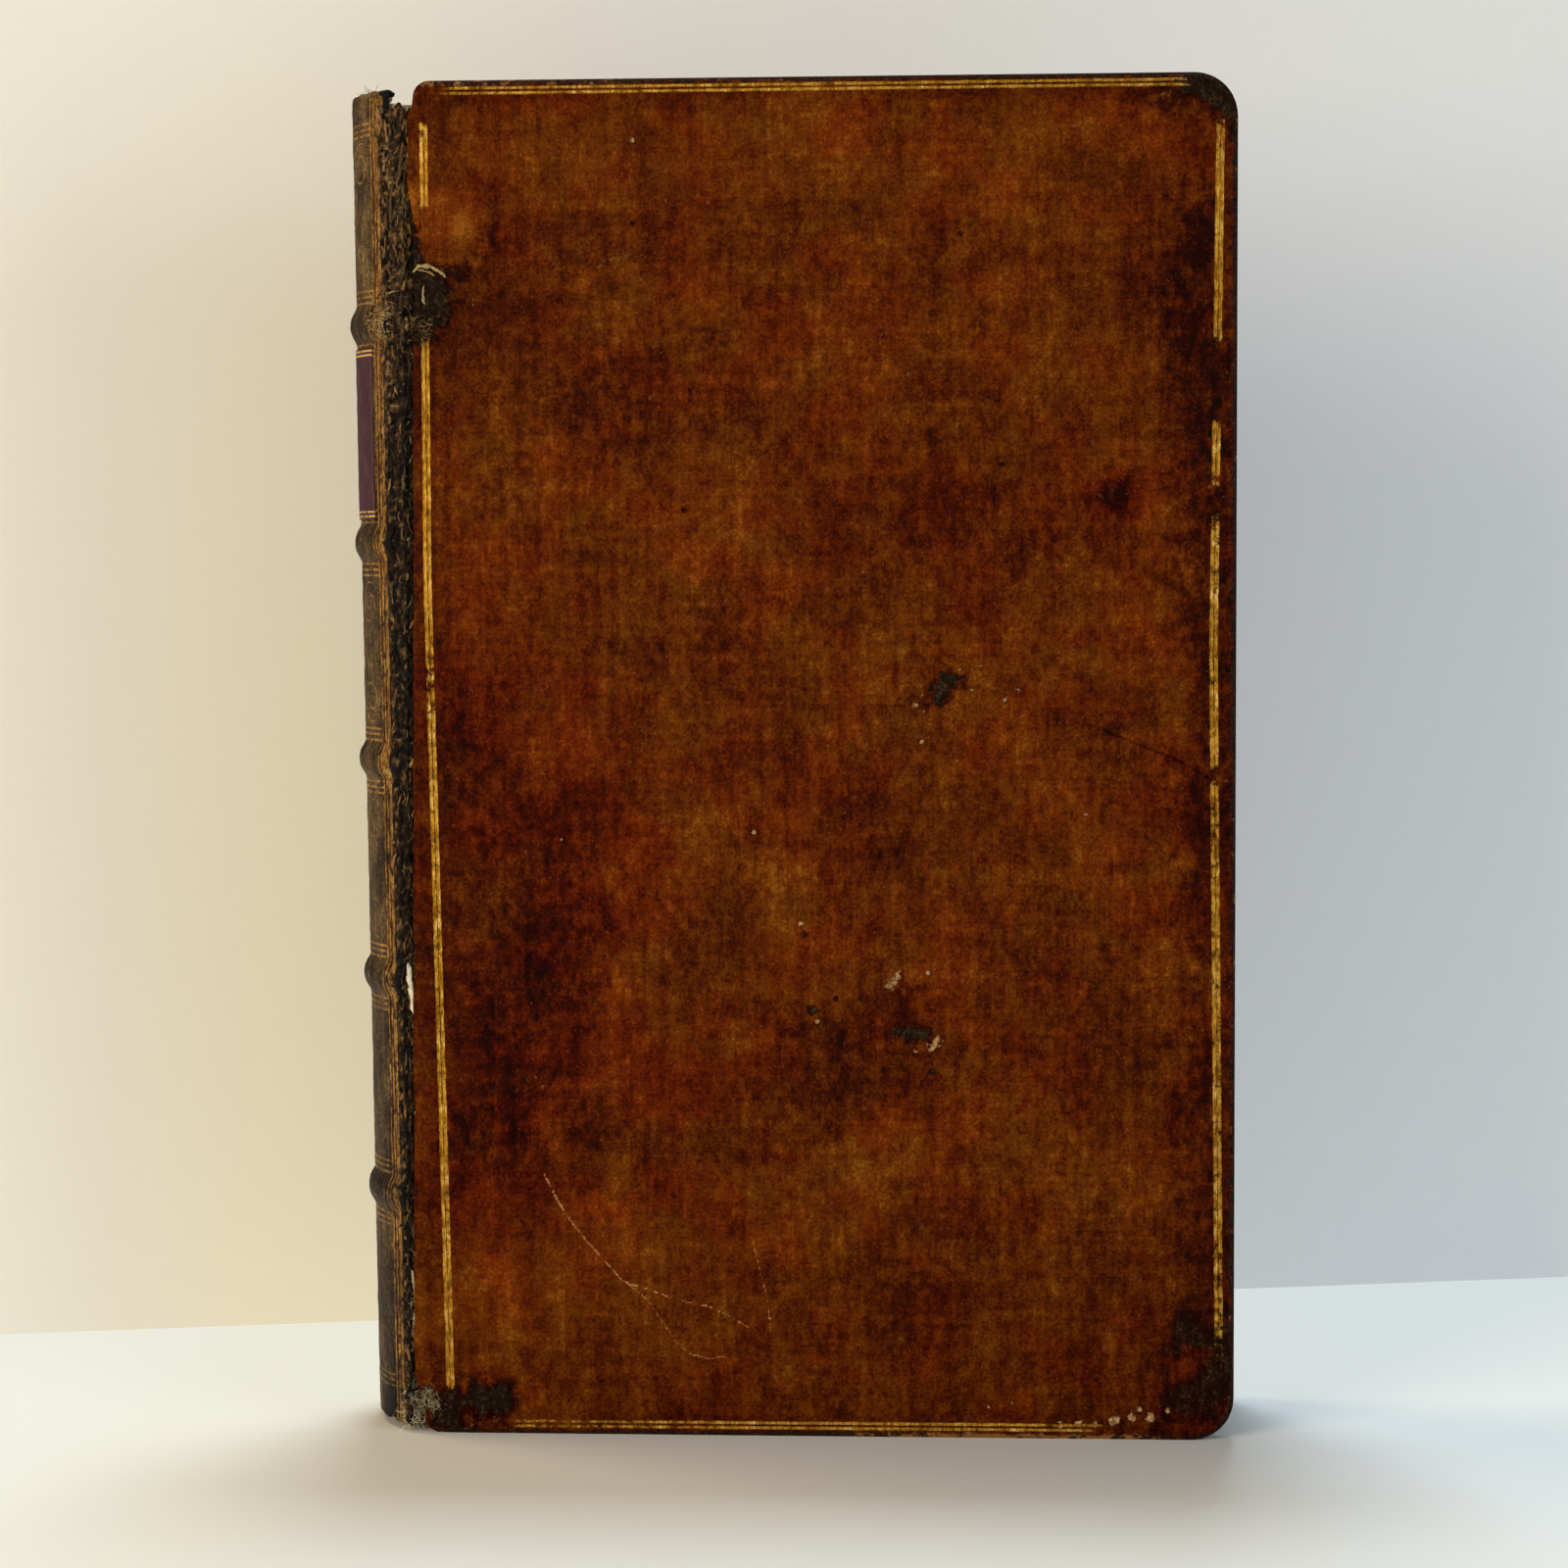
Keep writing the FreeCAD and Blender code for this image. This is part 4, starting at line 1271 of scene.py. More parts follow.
FRONT_MARKS: tuple[Mark, ...] = (
    Mark(MarkKind.STAIN, ((26, 158), (34, 160)), 8, 0.34, ragged=0.9),
    Mark(MarkKind.STAIN, ((104.2, 142.6),), 4.0, 0.8, ragged=0.7),
    Mark(MarkKind.BLUSH, ((104.2, 142.6),), 5.5, 0.9, ragged=0.7),
    Mark(MarkKind.STAIN, ((117.5, 182), (116.5, 168), (118, 148), (119, 120)), 6.5, 0.6, ragged=0.7),
    Mark(MarkKind.STAIN, ((121, 16), (117.5, 5)), 8, 0.95, ragged=0.7),
    Mark(MarkKind.STAIN, ((4.6, 4.2), (7.6, 5.4), (11.4, 5.2)), 3.4, 1.2, ragged=1.0),
    Mark(MarkKind.STAIN, ((10.6, 5.8),), 2.4, 0.9, ragged=1.0),
    Mark(MarkKind.STAIN, ((0.6, 6.0), (2.4, 2.0), (6.0, 0.4)), 1.6, 1.1, ragged=0.6),
    Mark(MarkKind.SCUFF, ((4.6, 2.4), (8.5, 1.8), (12.0, 1.6)), 1.6, 0.36, 0.06, 1.0),
    Mark(MarkKind.STAIN, ((8, 100), (18, 80), (14, 52)), 15, 0.4, ragged=0.9),
    Mark(MarkKind.BLUSH, ((10, 112), (24, 84), (20, 46)), 22, 0.8, ragged=0.8),
    Mark(MarkKind.STAIN, ((60, 60), (80, 58)), 12, 0.3, ragged=0.8),
    Mark(MarkKind.STAIN, ((120, 110), (119, 60), (120, 30)), 7, 0.45, ragged=0.8),
    Mark(MarkKind.STAIN, ((46.3, 134.8), (46.2, 115.7)), 0.9, 0.5, ragged=0.6),
    Mark(MarkKind.STAIN, ((25.8, 120.9), (55.4, 120.9)), 0.5, 0.35, ragged=0.6),
    Mark(MarkKind.STAIN, ((72.2, 62.3), (76.5, 61.5)), 1.2, 1.0, ragged=0.8),
    Mark(MarkKind.STAIN, ((110.5, 202.0), (119, 202)), 4.2, 0.6, ragged=0.8),
    Mark(MarkKind.FADE, ((2.0, 22), (20, 22), (40, 30)), 18, 0.3, ragged=0.8),
    Mark(MarkKind.FADE, ((8, 16), (10, 26)), 9, 0.25, ragged=0.8),
    Mark(MarkKind.FADE, ((15, 192), (60, 194), (100, 190)), 13, 0.45, ragged=0.8),
    Mark(MarkKind.SCUFF, ((35.6, 158), (36.6, 155.4)), 2.0, 0.3, 0.04, 0.9),
    Mark(MarkKind.SCUFF, ((30.4, 153.2),), 1.2, 0.28, 0.04, 0.9, True),
    Mark(MarkKind.SCUFF, ((26.6, 160.4),), 1.0, 0.26, 0.04, 0.9, True),
    Mark(MarkKind.FADE, ((3.0, 187.6), (5.6, 185.0), (4.6, 180.6)), 3.6, 0.8, -0.16, 1.0),
    Mark(MarkKind.FADE, ((8.4, 186.6), (10.4, 184.0), (8.0, 181.4)), 2.2, 0.3, -0.12, 1.0),
    Mark(MarkKind.STAIN, ((11.5, 181.5), (9.0, 178.0), (6.6, 176.4)), 2.0, 0.7, 0.05, 1.0),
    Mark(MarkKind.CRACK, ((102.0, 108.0), (114.1, 103.1), (120.4, 99.5)), 0.3, 0.36, 0.06, 0.8, True),
    Mark(
        MarkKind.SCRATCH,
        ((18.6, 40), (20.9, 35.4), (23.1, 32.1), (25.2, 29.6), (27.6, 26.9), (30.3, 23.9), (32.4, 23)),
        0.19, 0.85, 0.04, 0.6, True,
    ),
    Mark(
        MarkKind.SCRATCH,
        ((30.3, 23.9), (34.5, 22.4), (37.6, 21.3), (40.6, 20.5), (43.6, 19.9), (46.7, 18.4), (49.7, 16.7)),
        0.17, 0.8, 0.04, 0.6, True,
    ),
    Mark(
        MarkKind.SCRATCH,
        ((31, 23.5), (34.2, 20.9), (36.0, 18.3), (38.4, 14.6), (40.6, 12.6), (43.6, 11.9), (45.9, 12.3)),
        0.16, 0.75, 0.04, 0.6, True,
    ),
    Mark(MarkKind.SCRATCH, ((50.2, 30.3), (51.3, 26.1), (52.3, 22.1), (52.8, 18.4), (52.9, 15.7)), 0.17, 0.6, 0.03, 0.6, True),
    Mark(MarkKind.PIT, ((78.8, 113.0), (80.0, 115.2)), 1.7, 1.1, 0.3, 1.0, True),
    Mark(MarkKind.STAIN, ((76.6, 112.0), (80.6, 114.4)), 3.0, 0.6, ragged=1.0),
    *(
        Mark(MarkKind.SCUFF, (spot,), reach, 0.75, -0.06, 0.8, True)
        for spot, reach in (
            ((74.9, 111.2), 0.8), ((76.4, 110.3), 0.5), ((76.2, 112.8), 0.4), ((81.8, 116.6), 0.5),
            ((83.6, 113.4), 0.5), ((88.5, 112.0), 0.7), ((90.4, 113.6), 0.5), ((85.0, 117.2), 0.4),
        )
    ),
    Mark(MarkKind.STAIN, ((95.4, 110.4), (95.8, 109.0)), 1.9, 0.4, 0.08, 0.3, True),
    *(
        Mark(MarkKind.SCUFF, (spot,), 0.62, 1.0, -0.05, 0.3, True)
        for spot in ((50.7, 92.2), (76.1, 105.8), (57.8, 78.4), (60.2, 63.6), (33.0, 195.8), (77.0, 70.9))
    ),
    *(
        Mark(MarkKind.PIT, (spot,), reach, 1.0, 0.35, 0.35, True)
        for spot, reach in (
            ((59.4, 65.2), 1.1), ((63.1, 67.0), 0.5), ((58.2, 76.7), 0.7), ((70.2, 56.3), 0.5),
            ((77.6, 55.9), 0.7), ((40.5, 140.6), 0.55), ((17.4, 44.3), 0.4), ((17.9, 56.0), 0.35),
            ((33.0, 183.5), 0.4), ((88.2, 147.2), 0.5), ((82.0, 181.5), 0.5),
        )
    ),
    Mark(MarkKind.SCUFF, ((71.2, 69.0), (72.6, 70.6)), 1.2, 0.75, 0.06, 0.7, True),
    Mark(MarkKind.SCUFF, ((78.3, 60.7), (77.6, 59.6)), 1.1, 0.8, 0.06, 0.7, True),
    Mark(MarkKind.SCUFF, ((75.0, 59.0),), 0.6, 0.8, 0.04, 0.6, True),
    Mark(MarkKind.SCUFF, ((100.6, 94.9),), 0.5, 0.9, 0.03, 0.5, True),
    Mark(MarkKind.SCUFF, ((21.6, 91.0),), 0.5, 0.8, 0.02, 0.5, True),
    Mark(MarkKind.SCUFF, ((33.9, 107.6),), 0.4, 0.6, 0.02, 0.5, True),
    Mark(MarkKind.SCUFF, ((28, 177.6), (33, 178.8), (37, 178.4)), 0.9, 0.42, 0.03, 0.9, True),
    Mark(MarkKind.SCUFF, ((19.2, 180.1),), 0.9, 0.4, 0.03, 0.9, True),
    *(
        Mark(MarkKind.SCUFF, (spot,), reach, 0.95, 0.08, 0.6, True)
        for spot, reach in (
            ((97.0, 2.3), 0.8), ((99.6, 2.5), 0.8), ((102.2, 2.4), 0.7), ((105.0, 3.0), 1.3), ((107.6, 3.6), 0.9),
            ((108.8, 4.7), 0.7), ((110.6, 3.6), 1.1), ((113.0, 4.3), 0.8), ((89.6, 5.4), 0.4), ((86.0, 4.9), 0.35),
        )
    ),
    Mark(MarkKind.SCUFF, ((110.4, 200.4), (113.4, 202.4)), 0.9, 0.34, 0.05, 0.8, True),
    Mark(MarkKind.STAIN, ((116.4, 203.2), (120.0, 201.6), (122.4, 197.6)), 2.4, 0.9, ragged=0.6),
    Mark(MarkKind.FADE, ((5.0, 186.5), (7, 182)), 5.0, 0.9, ragged=0.9),
    Mark(MarkKind.LOSS, ((-1.6, 184.5), (-0.8, 180.5), (0.6, 177)), 1.9, 1.1, 0.5, 0.8, True),
    Mark(MarkKind.LOSS, ((-0.4, 176), (-1.2, 168)), 1.5, 1.0, 0.45, 0.9, True),
    Mark(MarkKind.STAIN, ((0.6, 176.4), (3.4, 174.6), (4.0, 171.6), (1.0, 168.6)), 3.0, 1.3, 0.1, 0.5, True),
    Mark(MarkKind.STAIN, ((0.6, 175.4), (1.0, 166.6)), 2.6, 1.3, 0.1, 0.4, True),
)

BACK_MARKS: tuple[Mark, ...] = (
    Mark(MarkKind.STAIN, ((30, 60),), 18, 0.5, ragged=0.8),
    Mark(MarkKind.STAIN, ((92, 150), (100, 120)), 14, 0.5, ragged=0.8),
    Mark(MarkKind.BLUSH, ((60, 110), (84, 70)), 24, 0.6, ragged=0.8),
    Mark(MarkKind.FADE, ((20, 180), (60, 176)), 16, 0.4, ragged=0.8),
    Mark(MarkKind.SCRATCH, ((60, 150), (66, 141), (75, 132), (79, 126)), 0.2, 0.8, 0.04, 0.4, True),
    Mark(MarkKind.PIT, ((44, 92),), 0.8, 1.0, 0.3, 0.4, True),
    Mark(MarkKind.PIT, ((71, 45),), 0.6, 1.0, 0.3, 0.4, True),
    Mark(MarkKind.SCUFF, ((98, 60), (101, 62)), 1.0, 0.7, 0.05, 0.8, True),
    Mark(MarkKind.STAIN, ((120, 8),), 8, 0.8, ragged=0.6),
    Mark(MarkKind.STAIN, ((119, 199),), 7, 0.7, ragged=0.6),
)


@dataclass
class CoverLeather:
    """The calf over one board: face, worn edges, turn-ins, marks and tooled lines."""

    side: Side
    plan: BookPlan
    gilding: GiltFrame
    marks: tuple[Mark, ...]
    pitch: float = 1.4
    arris: float = 0.9
    corner: float = 6.5
    back_corner: float = 2.4
    board_depth: float = 3.68
    torn_depth: float = 1.9
    turn_in: float = 14.0
    skin: float = 0.3
    deepest: float = 0.56
    groove: float = 0.12
    slant_reach: float = 24.0
    lip_root: float = 1.2
    lip_wall: float = 0.3
    lip_tuck: float = 0.7

    @property
    def name(self) -> str:
        """The cover's first word."""
        return self.side.name.lower()

    def inset(self, u: float, z: float) -> float:
        """Distance from a place inside the cover to its outline.

        Args:
            u: The place across.
            z: The place up.

        Returns:
            The distance, negative outside.
        """
        half_u, half_z = self.plan.width / 2, self.plan.height / 2
        radius = self.corner if u > half_u else self.back_corner
        away_u = abs(u - half_u) - half_u + radius
        away_z = abs(z - half_z) - half_z + radius
        outside = math.hypot(max(away_u, 0.0), max(away_z, 0.0))
        return radius - outside - min(max(away_u, away_z), 0.0)

    def rounded(self, u: float, z: float) -> tuple[float, float]:
        """Draws the corners of a square grid in to the cover's round corners.

        Args:
            u: The place across.
            z: The place up.

        Returns:
            The new place.
        """
        half_u, half_z = self.plan.width / 2, self.plan.height / 2
        radius = self.corner if u > half_u else self.back_corner
        a = (abs(u - half_u) - half_u + radius) / radius
        b = (abs(z - half_z) - half_z + radius) / radius
        if a <= 0 or b <= 0:
            return u, z
        bent_a = a * math.sqrt(1 - b * b / 2)
        bent_b = b * math.sqrt(1 - a * a / 2)
        new_u = half_u + math.copysign(half_u - radius + bent_a * radius, u - half_u)
        new_z = half_z + math.copysign(half_z - radius + bent_b * radius, z - half_z)
        return new_u, new_z

    def across_stations(self) -> list[float]:
        """Columns that meet the tooled lines and crowd at the edges."""
        frame = self.gilding
        stops = [0.0, 0.12, 0.35]
        for middle in (frame.joint_middle, frame.fore_middle):
            for way in (-1, 1):
                line = middle + way * frame.half_gap
                stops += [line - frame.line / 2, line, line + frame.line / 2]
        stops += [self.plan.width - step for step in (1.6, 0.9, 0.55, 0.3, 0.12, 0.0)]
        return stations(stops, self.pitch)

    def upright_stations(self) -> list[float]:
        """Rows that meet the tooled lines and crowd at the edges."""
        frame = self.gilding
        near = [0.0, 0.12, 0.3]
        for way in (-1, 1):
            line = frame.end_middle + way * frame.end_gap
            near += [line - frame.end_line / 2, line, line + frame.end_line / 2]
        top = self.plan.height
        return stations(near + [top - step for step in reversed(near)], self.pitch)

    def shifted(self, u: float, z: float) -> float:
        """Moves a column beside a slanting tooled line along with it.

        Args:
            u: The column.
            z: The height.

        Returns:
            The new place across.
        """
        frame = self.gilding
        near = smooth(u, 0.0, frame.joint_middle - 0.8) * (1 - smooth(u, frame.joint_middle + 0.8, self.slant_reach))
        far_u = self.plan.width - u
        gap = self.plan.width - frame.fore_middle
        far = smooth(far_u, 0.0, gap - 0.8) * (1 - smooth(far_u, gap + 0.8, self.slant_reach))
        u += near * (frame.joint_line(z) - frame.joint_middle)
        return u + far * (frame.fore_line(z) - frame.fore_middle)

    def groove_depth(self, u: float, z: float) -> float:
        """Depth of the tooled lines at a place.

        Args:
            u: The place across.
            z: The place up.

        Returns:
            The depth.
        """
        frame = self.gilding
        depth = 0.0
        stripe, thin = (frame.half_gap, frame.line), (frame.end_gap, frame.end_line)
        for place, middle, (gap, width) in (
            (u, frame.joint_line(z), stripe),
            (u, frame.fore_line(z), stripe),
            (z, frame.end_middle + frame.end_slant * u / self.plan.width, thin),
            (z, self.plan.height - frame.end_middle + frame.end_slant * u / self.plan.width, thin),
        ):
            away = abs(abs(place - middle) - gap)
            depth = max(depth, self.groove * max(0.0, 1 - away / (width / 2)))
        return depth

    def height(self, u: float, z: float) -> float:
        """How far the face lies below the flat plane of the cover, without its marks.

        Args:
            u: The place across.
            z: The place up.

        Returns:
            The depth.
        """
        inside = max(0.0, self.inset(u, z))
        depth = 0.0
        if inside < self.arris:
            depth = self.arris - math.sqrt(max(0.0, self.arris**2 - (self.arris - inside) ** 2))
        place = Vector((u, 7.0 * self.side.value, z))
        depth += 0.06 * (1 + ripple(place, 30)) + 0.03 * (1 + ripple(place, 5, 3.0))
        worn = max(0.0, ripple(place, 6, 11.0)) * (1 - smooth(inside, 0.3, 3.0))
        return depth + 0.28 * worn + self.groove_depth(u, z)

    def marks_at(self, u: float, z: float) -> tuple[float, float, float, float, float]:
        """Sums the marks at a place.

        Args:
            u: The place across.
            z: The place up.

        Returns:
            Darkness, paleness, redness, how deep it is scored, and depth.
        """
        dark = pale = red = cut = depth = 0.0
        for mark in self.marks:
            weight = mark.weight(u, z)
            if weight <= 0:
                continue
            depth += mark.depth * weight
            if mark.kind is MarkKind.STAIN:
                dark += weight
            elif mark.kind is MarkKind.FADE:
                dark -= weight * 0.5
            elif mark.kind is MarkKind.BLUSH:
                red = max(red, weight)
            elif mark.kind is MarkKind.SCUFF:
                pale = max(pale, weight)
            elif mark.kind is MarkKind.SCRATCH:
                cut = max(cut, weight)
            else:
                dark += weight * 1.4
        return dark, pale, red, cut, depth

    def build(self) -> bpy.types.Object:
        """Makes the leather.

        Returns:
            The piece.
        """
        bm = lattice(
            self.across_stations(),
            self.upright_stations(),
            lambda u, z: Vector((*self.rounded(self.shifted(u, z), z), 0.0)),
        )
        self.refine(bm)
        paint = bm.verts.layers.float_color.new("marks")
        rim = bm.verts.layers.float_color.new("rim")
        for vert in bm.verts:
            u, z = vert.co.x, vert.co.y
            dark, pale, red, cut, depth = self.marks_at(u, z)
            vert[paint] = (dark, pale, red, cut)
            inside = max(0.0, self.inset(u, z))
            outer = smooth(u, 0.3, 1.4)
            vert[rim] = (max(inside, 3 - 3 * outer), outer, self.flaking(u, z), 1.0)
            vert.co.z = min(self.deepest, self.height(u, z) + depth)
            self.hang_over(vert)
        self.fold_over(bm)
        face_y = self.plan.half * self.side.value
        for vert in bm.verts:
            u, z, depth = vert.co
            vert.co = Vector((self.plan.joint_x + u, face_y - depth * self.side.value, z))
        finish = CalfFinish(f"{self.name}_calf", self.plan, self.gilding, self.side).make()
        piece = new_piece(f"{self.name}_calf", bm, finish, self.skin, flip=self.side is Side.BACK)
        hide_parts(f"{self.name}_leather")
        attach(piece, f"{self.name}_cover")
        return piece

    def flaking(self, u: float, z: float) -> float:
        """How much of the worn edge has lost its surface at a place.

        Args:
            u: The place across.
            z: The place up.

        Returns:
            From 0 to 1.
        """
        if z > self.plan.height / 2:
            return 0.55 - 0.45 * smooth(u, 18, 34)
        return 0.15 + 0.75 * smooth(u, 62, 78) * (1 - smooth(u, 108, 114))

    def hang_over(self, vert: bmesh.types.BMVert) -> None:
        """Draws the front cover's joint edge out over the joint, as torn leather hangs.

        Args:
            vert: A vertex of the face, as u, z and depth.
        """
        if self.side is Side.BACK or vert.co.x > self.lip_root:
            return
        share = 1 - vert.co.x / self.lip_root
        reach = self.plan.lip(vert.co.y) * share
        sag = 0.1 + 0.12 * ripple(Vector((vert.co.x, 4, vert.co.y)), 1.5, 3.0)
        vert.co.x -= reach
        vert.co.z = vert.co.z * (1 - 0.6 * share) + sag * min(1.0, reach)

    def refine(self, bm: bmesh.types.BMesh) -> None:
        """Divides the grid under the fine marks.

        Args:
            bm: The flat grid.
        """
        fine = [mark for mark in self.marks if mark.fine]
        for margin, cuts in ((1.3, 1), (0.6, 2)):
            edges = [
                edge
                for edge in bm.edges
                if any(mark.near(*((edge.verts[0].co + edge.verts[1].co) / 2).xy, margin) for mark in fine)
            ]
            bmesh.ops.subdivide_edges(bm, edges=edges, cuts=cuts, use_grid_fill=True)

    def fold_over(self, bm: bmesh.types.BMesh) -> None:
        """Takes the leather over the board's edges and turns it in on three sides.

        Args:
            bm: The face, as u, z and depth.
        """
        full = self.board_depth
        rows = [(1.4, 0.0), (self.torn_depth, 0.0), (2.9, 0.0), (full - 0.1, 0.08), (full, 0.4)]
        rows += [(full + 0.02, step) for step in (2.0, 6.0, 10.0, self.turn_in)]
        ring = [edge for edge in bm.edges if edge.is_boundary]
        inner_u = (self.plan.width - self.turn_in, self.turn_in, self.plan.height - self.turn_in)
        for depth, inward in rows:
            if depth > self.torn_depth:
                ring = [e for e in ring if not all(v.co.x < 0.05 + inward for v in e.verts)]
            made = bmesh.ops.extrude_edge_only(bm, edges=ring)["geom"]
            ring = [item for item in made if isinstance(item, bmesh.types.BMEdge) and item.is_boundary]
            fresh = {item for item in made if isinstance(item, bmesh.types.BMVert)}
            ring = [edge for edge in ring if all(v in fresh for v in edge.verts)]
            for vert in fresh:
                target_u = min(vert.co.x, inner_u[0])
                target_z = min(max(vert.co.y, inner_u[1]), inner_u[2])
                way = Vector((target_u - vert.co.x, target_z - vert.co.y, 0))
                done = min(1.0, inward / max(way.length, 1e-6)) if inward else 0.0
                if inward == self.turn_in:
                    done = 1.0
                below = vert.co.z + self.lip_wall
                vert.co += way * done
                rough = 0.08 * ripple(Vector((vert.co.x, depth, vert.co.y)), 3.0, 2.0)
                vert.co.z = depth + (rough if depth < full else 0.0)
                hanging = min(1.0, max(0.0, -vert.co.x) / self.lip_wall)
                if hanging and depth <= self.torn_depth:
                    vert.co.z += (below - vert.co.z) * hanging
                    vert.co.x += self.lip_tuck * hanging * (depth == self.torn_depth)


@dataclass
class SpineLeather:
    """The calf over the back, moulded on the bands and turned in at head and tail."""

    plan: BookPlan
    pitch: float = 0.55
    wall: float = 0.6
    cap_reach: float = 2.4
    cap_round: float = 0.9
    tail_lift: float = 0.9
    head_drop: float = 1.2

    def profile(self) -> list[tuple[float, float]]:
        """The section through the middle of the back, from the tail's lip to the head's.

        Returns:
            Each point as a step in from the outer face and a height.
        """
        bend = [math.radians(angle) for angle in (0, 22, 45, 68)]
        cap = [(self.cap_reach, 0.35), (1.6, 0.06)]
        cap += [(self.cap_round * (1 - math.sin(a)), self.cap_round * (1 - math.cos(a))) for a in bend]
        low, high = self.tail_lift, self.plan.height - self.head_drop
        tail = [(step, low + z) for step, z in cap]
        middle = [(0.0, z) for z in stations([low + self.cap_round, high - self.cap_round], self.pitch)]
        head = [(step, high - z) for step, z in reversed(cap)]
        return tail + middle + head

    def wear(self, angle: float, z: float) -> tuple[float, float, float]:
        """What has happened to the leather at a place.

        Args:
            angle: From the middle of the back.
            z: The height.

        Returns:
            Sinking, darkness and paleness.
        """
        place = Vector((angle * 18, 0, z))
        sink = 0.07 * ripple(place, 2.0, 5.0) + 0.05 * ripple(place, 0.8, 8.0)
        sink += 0.10 * max(0.0, ripple(Vector((angle * 18, 0, z / 6)), 1.1, 4.0))
        edge = smooth(abs(angle), self.plan.spine_turn - 0.09, self.plan.spine_turn)
        cracked = smooth(abs(angle), self.plan.spine_turn - 0.26, self.plan.spine_turn - 0.12)
        ribs = 0.5 + 0.5 * math.sin(abs(angle) * self.plan.spine_radius * 6.5 + 1.5 * ripple(place, 6, 2.0))
        sink += 0.22 * cracked * ribs
        cap = smooth(z, self.plan.height - 7, self.plan.height - 1)
        foot = (1 - smooth(z, 4.0, 8.5)) * smooth(abs(angle), 0.4, 0.6)
        torn = smooth(z, 192, 198) * (1 - smooth(abs(angle + 0.84), 0.02, 0.07))
        sink += 0.5 * torn
        dark = edge * (0.8 + 0.5 * ripple(place, 2.5, 1.0)) + 0.35 * max(0, ripple(place, 6, 9.0)) + torn
        dark += 1.1 * foot + 0.3 * (1 - smooth(z, 30, 100))
        crown = self.plan.band_swell(z) / self.plan.band_rise
        pale = 0.55 * crown * max(0.0, 0.35 + ripple(place, 1.4, 7.0))
        pale += 0.6 * cap * max(0.0, ripple(place, 1.2, 6.0))
        return sink, dark, pale

    def build(self) -> bpy.types.Object:
        """Makes the leather.

        Returns:
            The piece.
        """
        plan = self.plan
        turn = plan.spine_turn
        count = round(2 * turn * plan.spine_radius / self.pitch)
        angles = [turn * (2 * i / count - 1) for i in range(count + 1)]
        profile = self.profile()

        def place(angle: float, row: float) -> Vector:
            step, z = profile[round(row)]
            sink, _, _ = self.wear(angle, z)
            ragged_end = 0.35 * ripple(Vector((angle * 18, 5, z)), 1.6, 3.0) if step else 0.0
            radius = plan.spine_radius + plan.band_swell(z) - step - (sink if step == 0 else 0.0)
            edge = smooth(abs(angle), turn - 0.12, turn)
            radius -= 0.25 * edge * plan.band_swell(z)
            ragged = 0.018 * ripple(Vector((3.0 * math.copysign(1, angle), 0, z)), 2.2, 3.0) * edge
            return plan.on_spine(angle * (1 + ragged), radius, z + ragged_end)

        bm = lattice(angles, [float(i) for i in range(len(profile))], place)
        paint = bm.verts.layers.float_color.new("marks")
        for vert in bm.verts:
            offset = vert.co.x - plan.spine_axis_x - plan.lean(vert.co.z)
            angle = math.atan2(vert.co.y, -offset)
            _, dark, pale = self.wear(angle, vert.co.z)
            crown = plan.band_swell(vert.co.z) / plan.band_rise
            vert[paint] = (dark, pale, crown, 1.0)
        finish = SpineCalfFinish("faded_calf", plan).make()
        piece = new_piece("spine_calf", bm, finish, self.wall, flip=True)
        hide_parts("spine_leather")
        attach(piece, "book_block")
        return piece


@dataclass
class Leaves:
    """The text block as its many leaves, with the ridges that their edges make."""

    plan: BookPlan
    leaf: float = 0.22
    unevenness: float = 0.12
    shoulder_round: float = 0.85

    def build(self) -> bpy.types.Object:
        """Makes the leaves.

        Returns:
            The piece.
        """
        low, high = (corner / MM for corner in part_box("text_block"))
        plan = self.plan
        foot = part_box("front_free_endpaper")[1].y / MM
        tip = high.y - self.shoulder_round
        flat_half = -foot - 0.04
        radius = plan.spine_radius - 0.98
        hollow = 4.6
        hollow_radius = (flat_half**2 + hollow**2) / (2 * hollow)
        fore = high.x - 0.05
        count = math.ceil(2 * tip / self.leaf)
        bm = bmesh.new()
        bmesh.ops.create_cube(bm, size=1.0)
        for i in range(1, count):
            geometry = [*bm.verts, *bm.edges, *bm.faces]
            cut = (0, -0.5 + i / count, 0)
            bmesh.ops.bisect_plane(bm, geom=geometry, dist=1e-6, plane_co=cut, plane_no=(0, 1, 0))
        shoulder_x = plan.joint_x - 0.5
        for vert in bm.verts:
            y = vert.co.y * 2 * tip
            jitter = self.unevenness * ripple(Vector((0, y * 9, vert.co.z * 3)), 1.0, 2.0)
            step = self.unevenness * ripple(Vector((vert.co.x * 5, y * 2.2, vert.co.z * 5)), 2.0, 6.0)
            z = (plan.leaf_high + step * 1.2 + jitter) if vert.co.z > 0 else plan.leaf_low - step
            if vert.co.x > 0:
                reach = min(abs(y), flat_half)
                x = fore - hollow + hollow_radius - math.sqrt(hollow_radius**2 - reach**2) + jitter - 0.15
                if abs(y) > flat_half:
                    x = shoulder_x - 0.2
            else:
                x = plan.spine_axis_x + plan.lean(z) - math.sqrt(radius**2 - y**2)
            if abs(y) > flat_half and vert.co.x > 0:
                t = (abs(y) - flat_half) / (tip - flat_half)
                back = plan.spine_axis_x - math.sqrt(radius**2 - tip**2)
                x = shoulder_x + (back - shoulder_x) * t
            vert.co = Vector((x, y, z))
        finish = LeafEdgeFinish("leaf_edges").make()
        piece = new_piece("leaves", bm, finish)
        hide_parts("text_block")
        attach(piece, "book_block")
        return piece


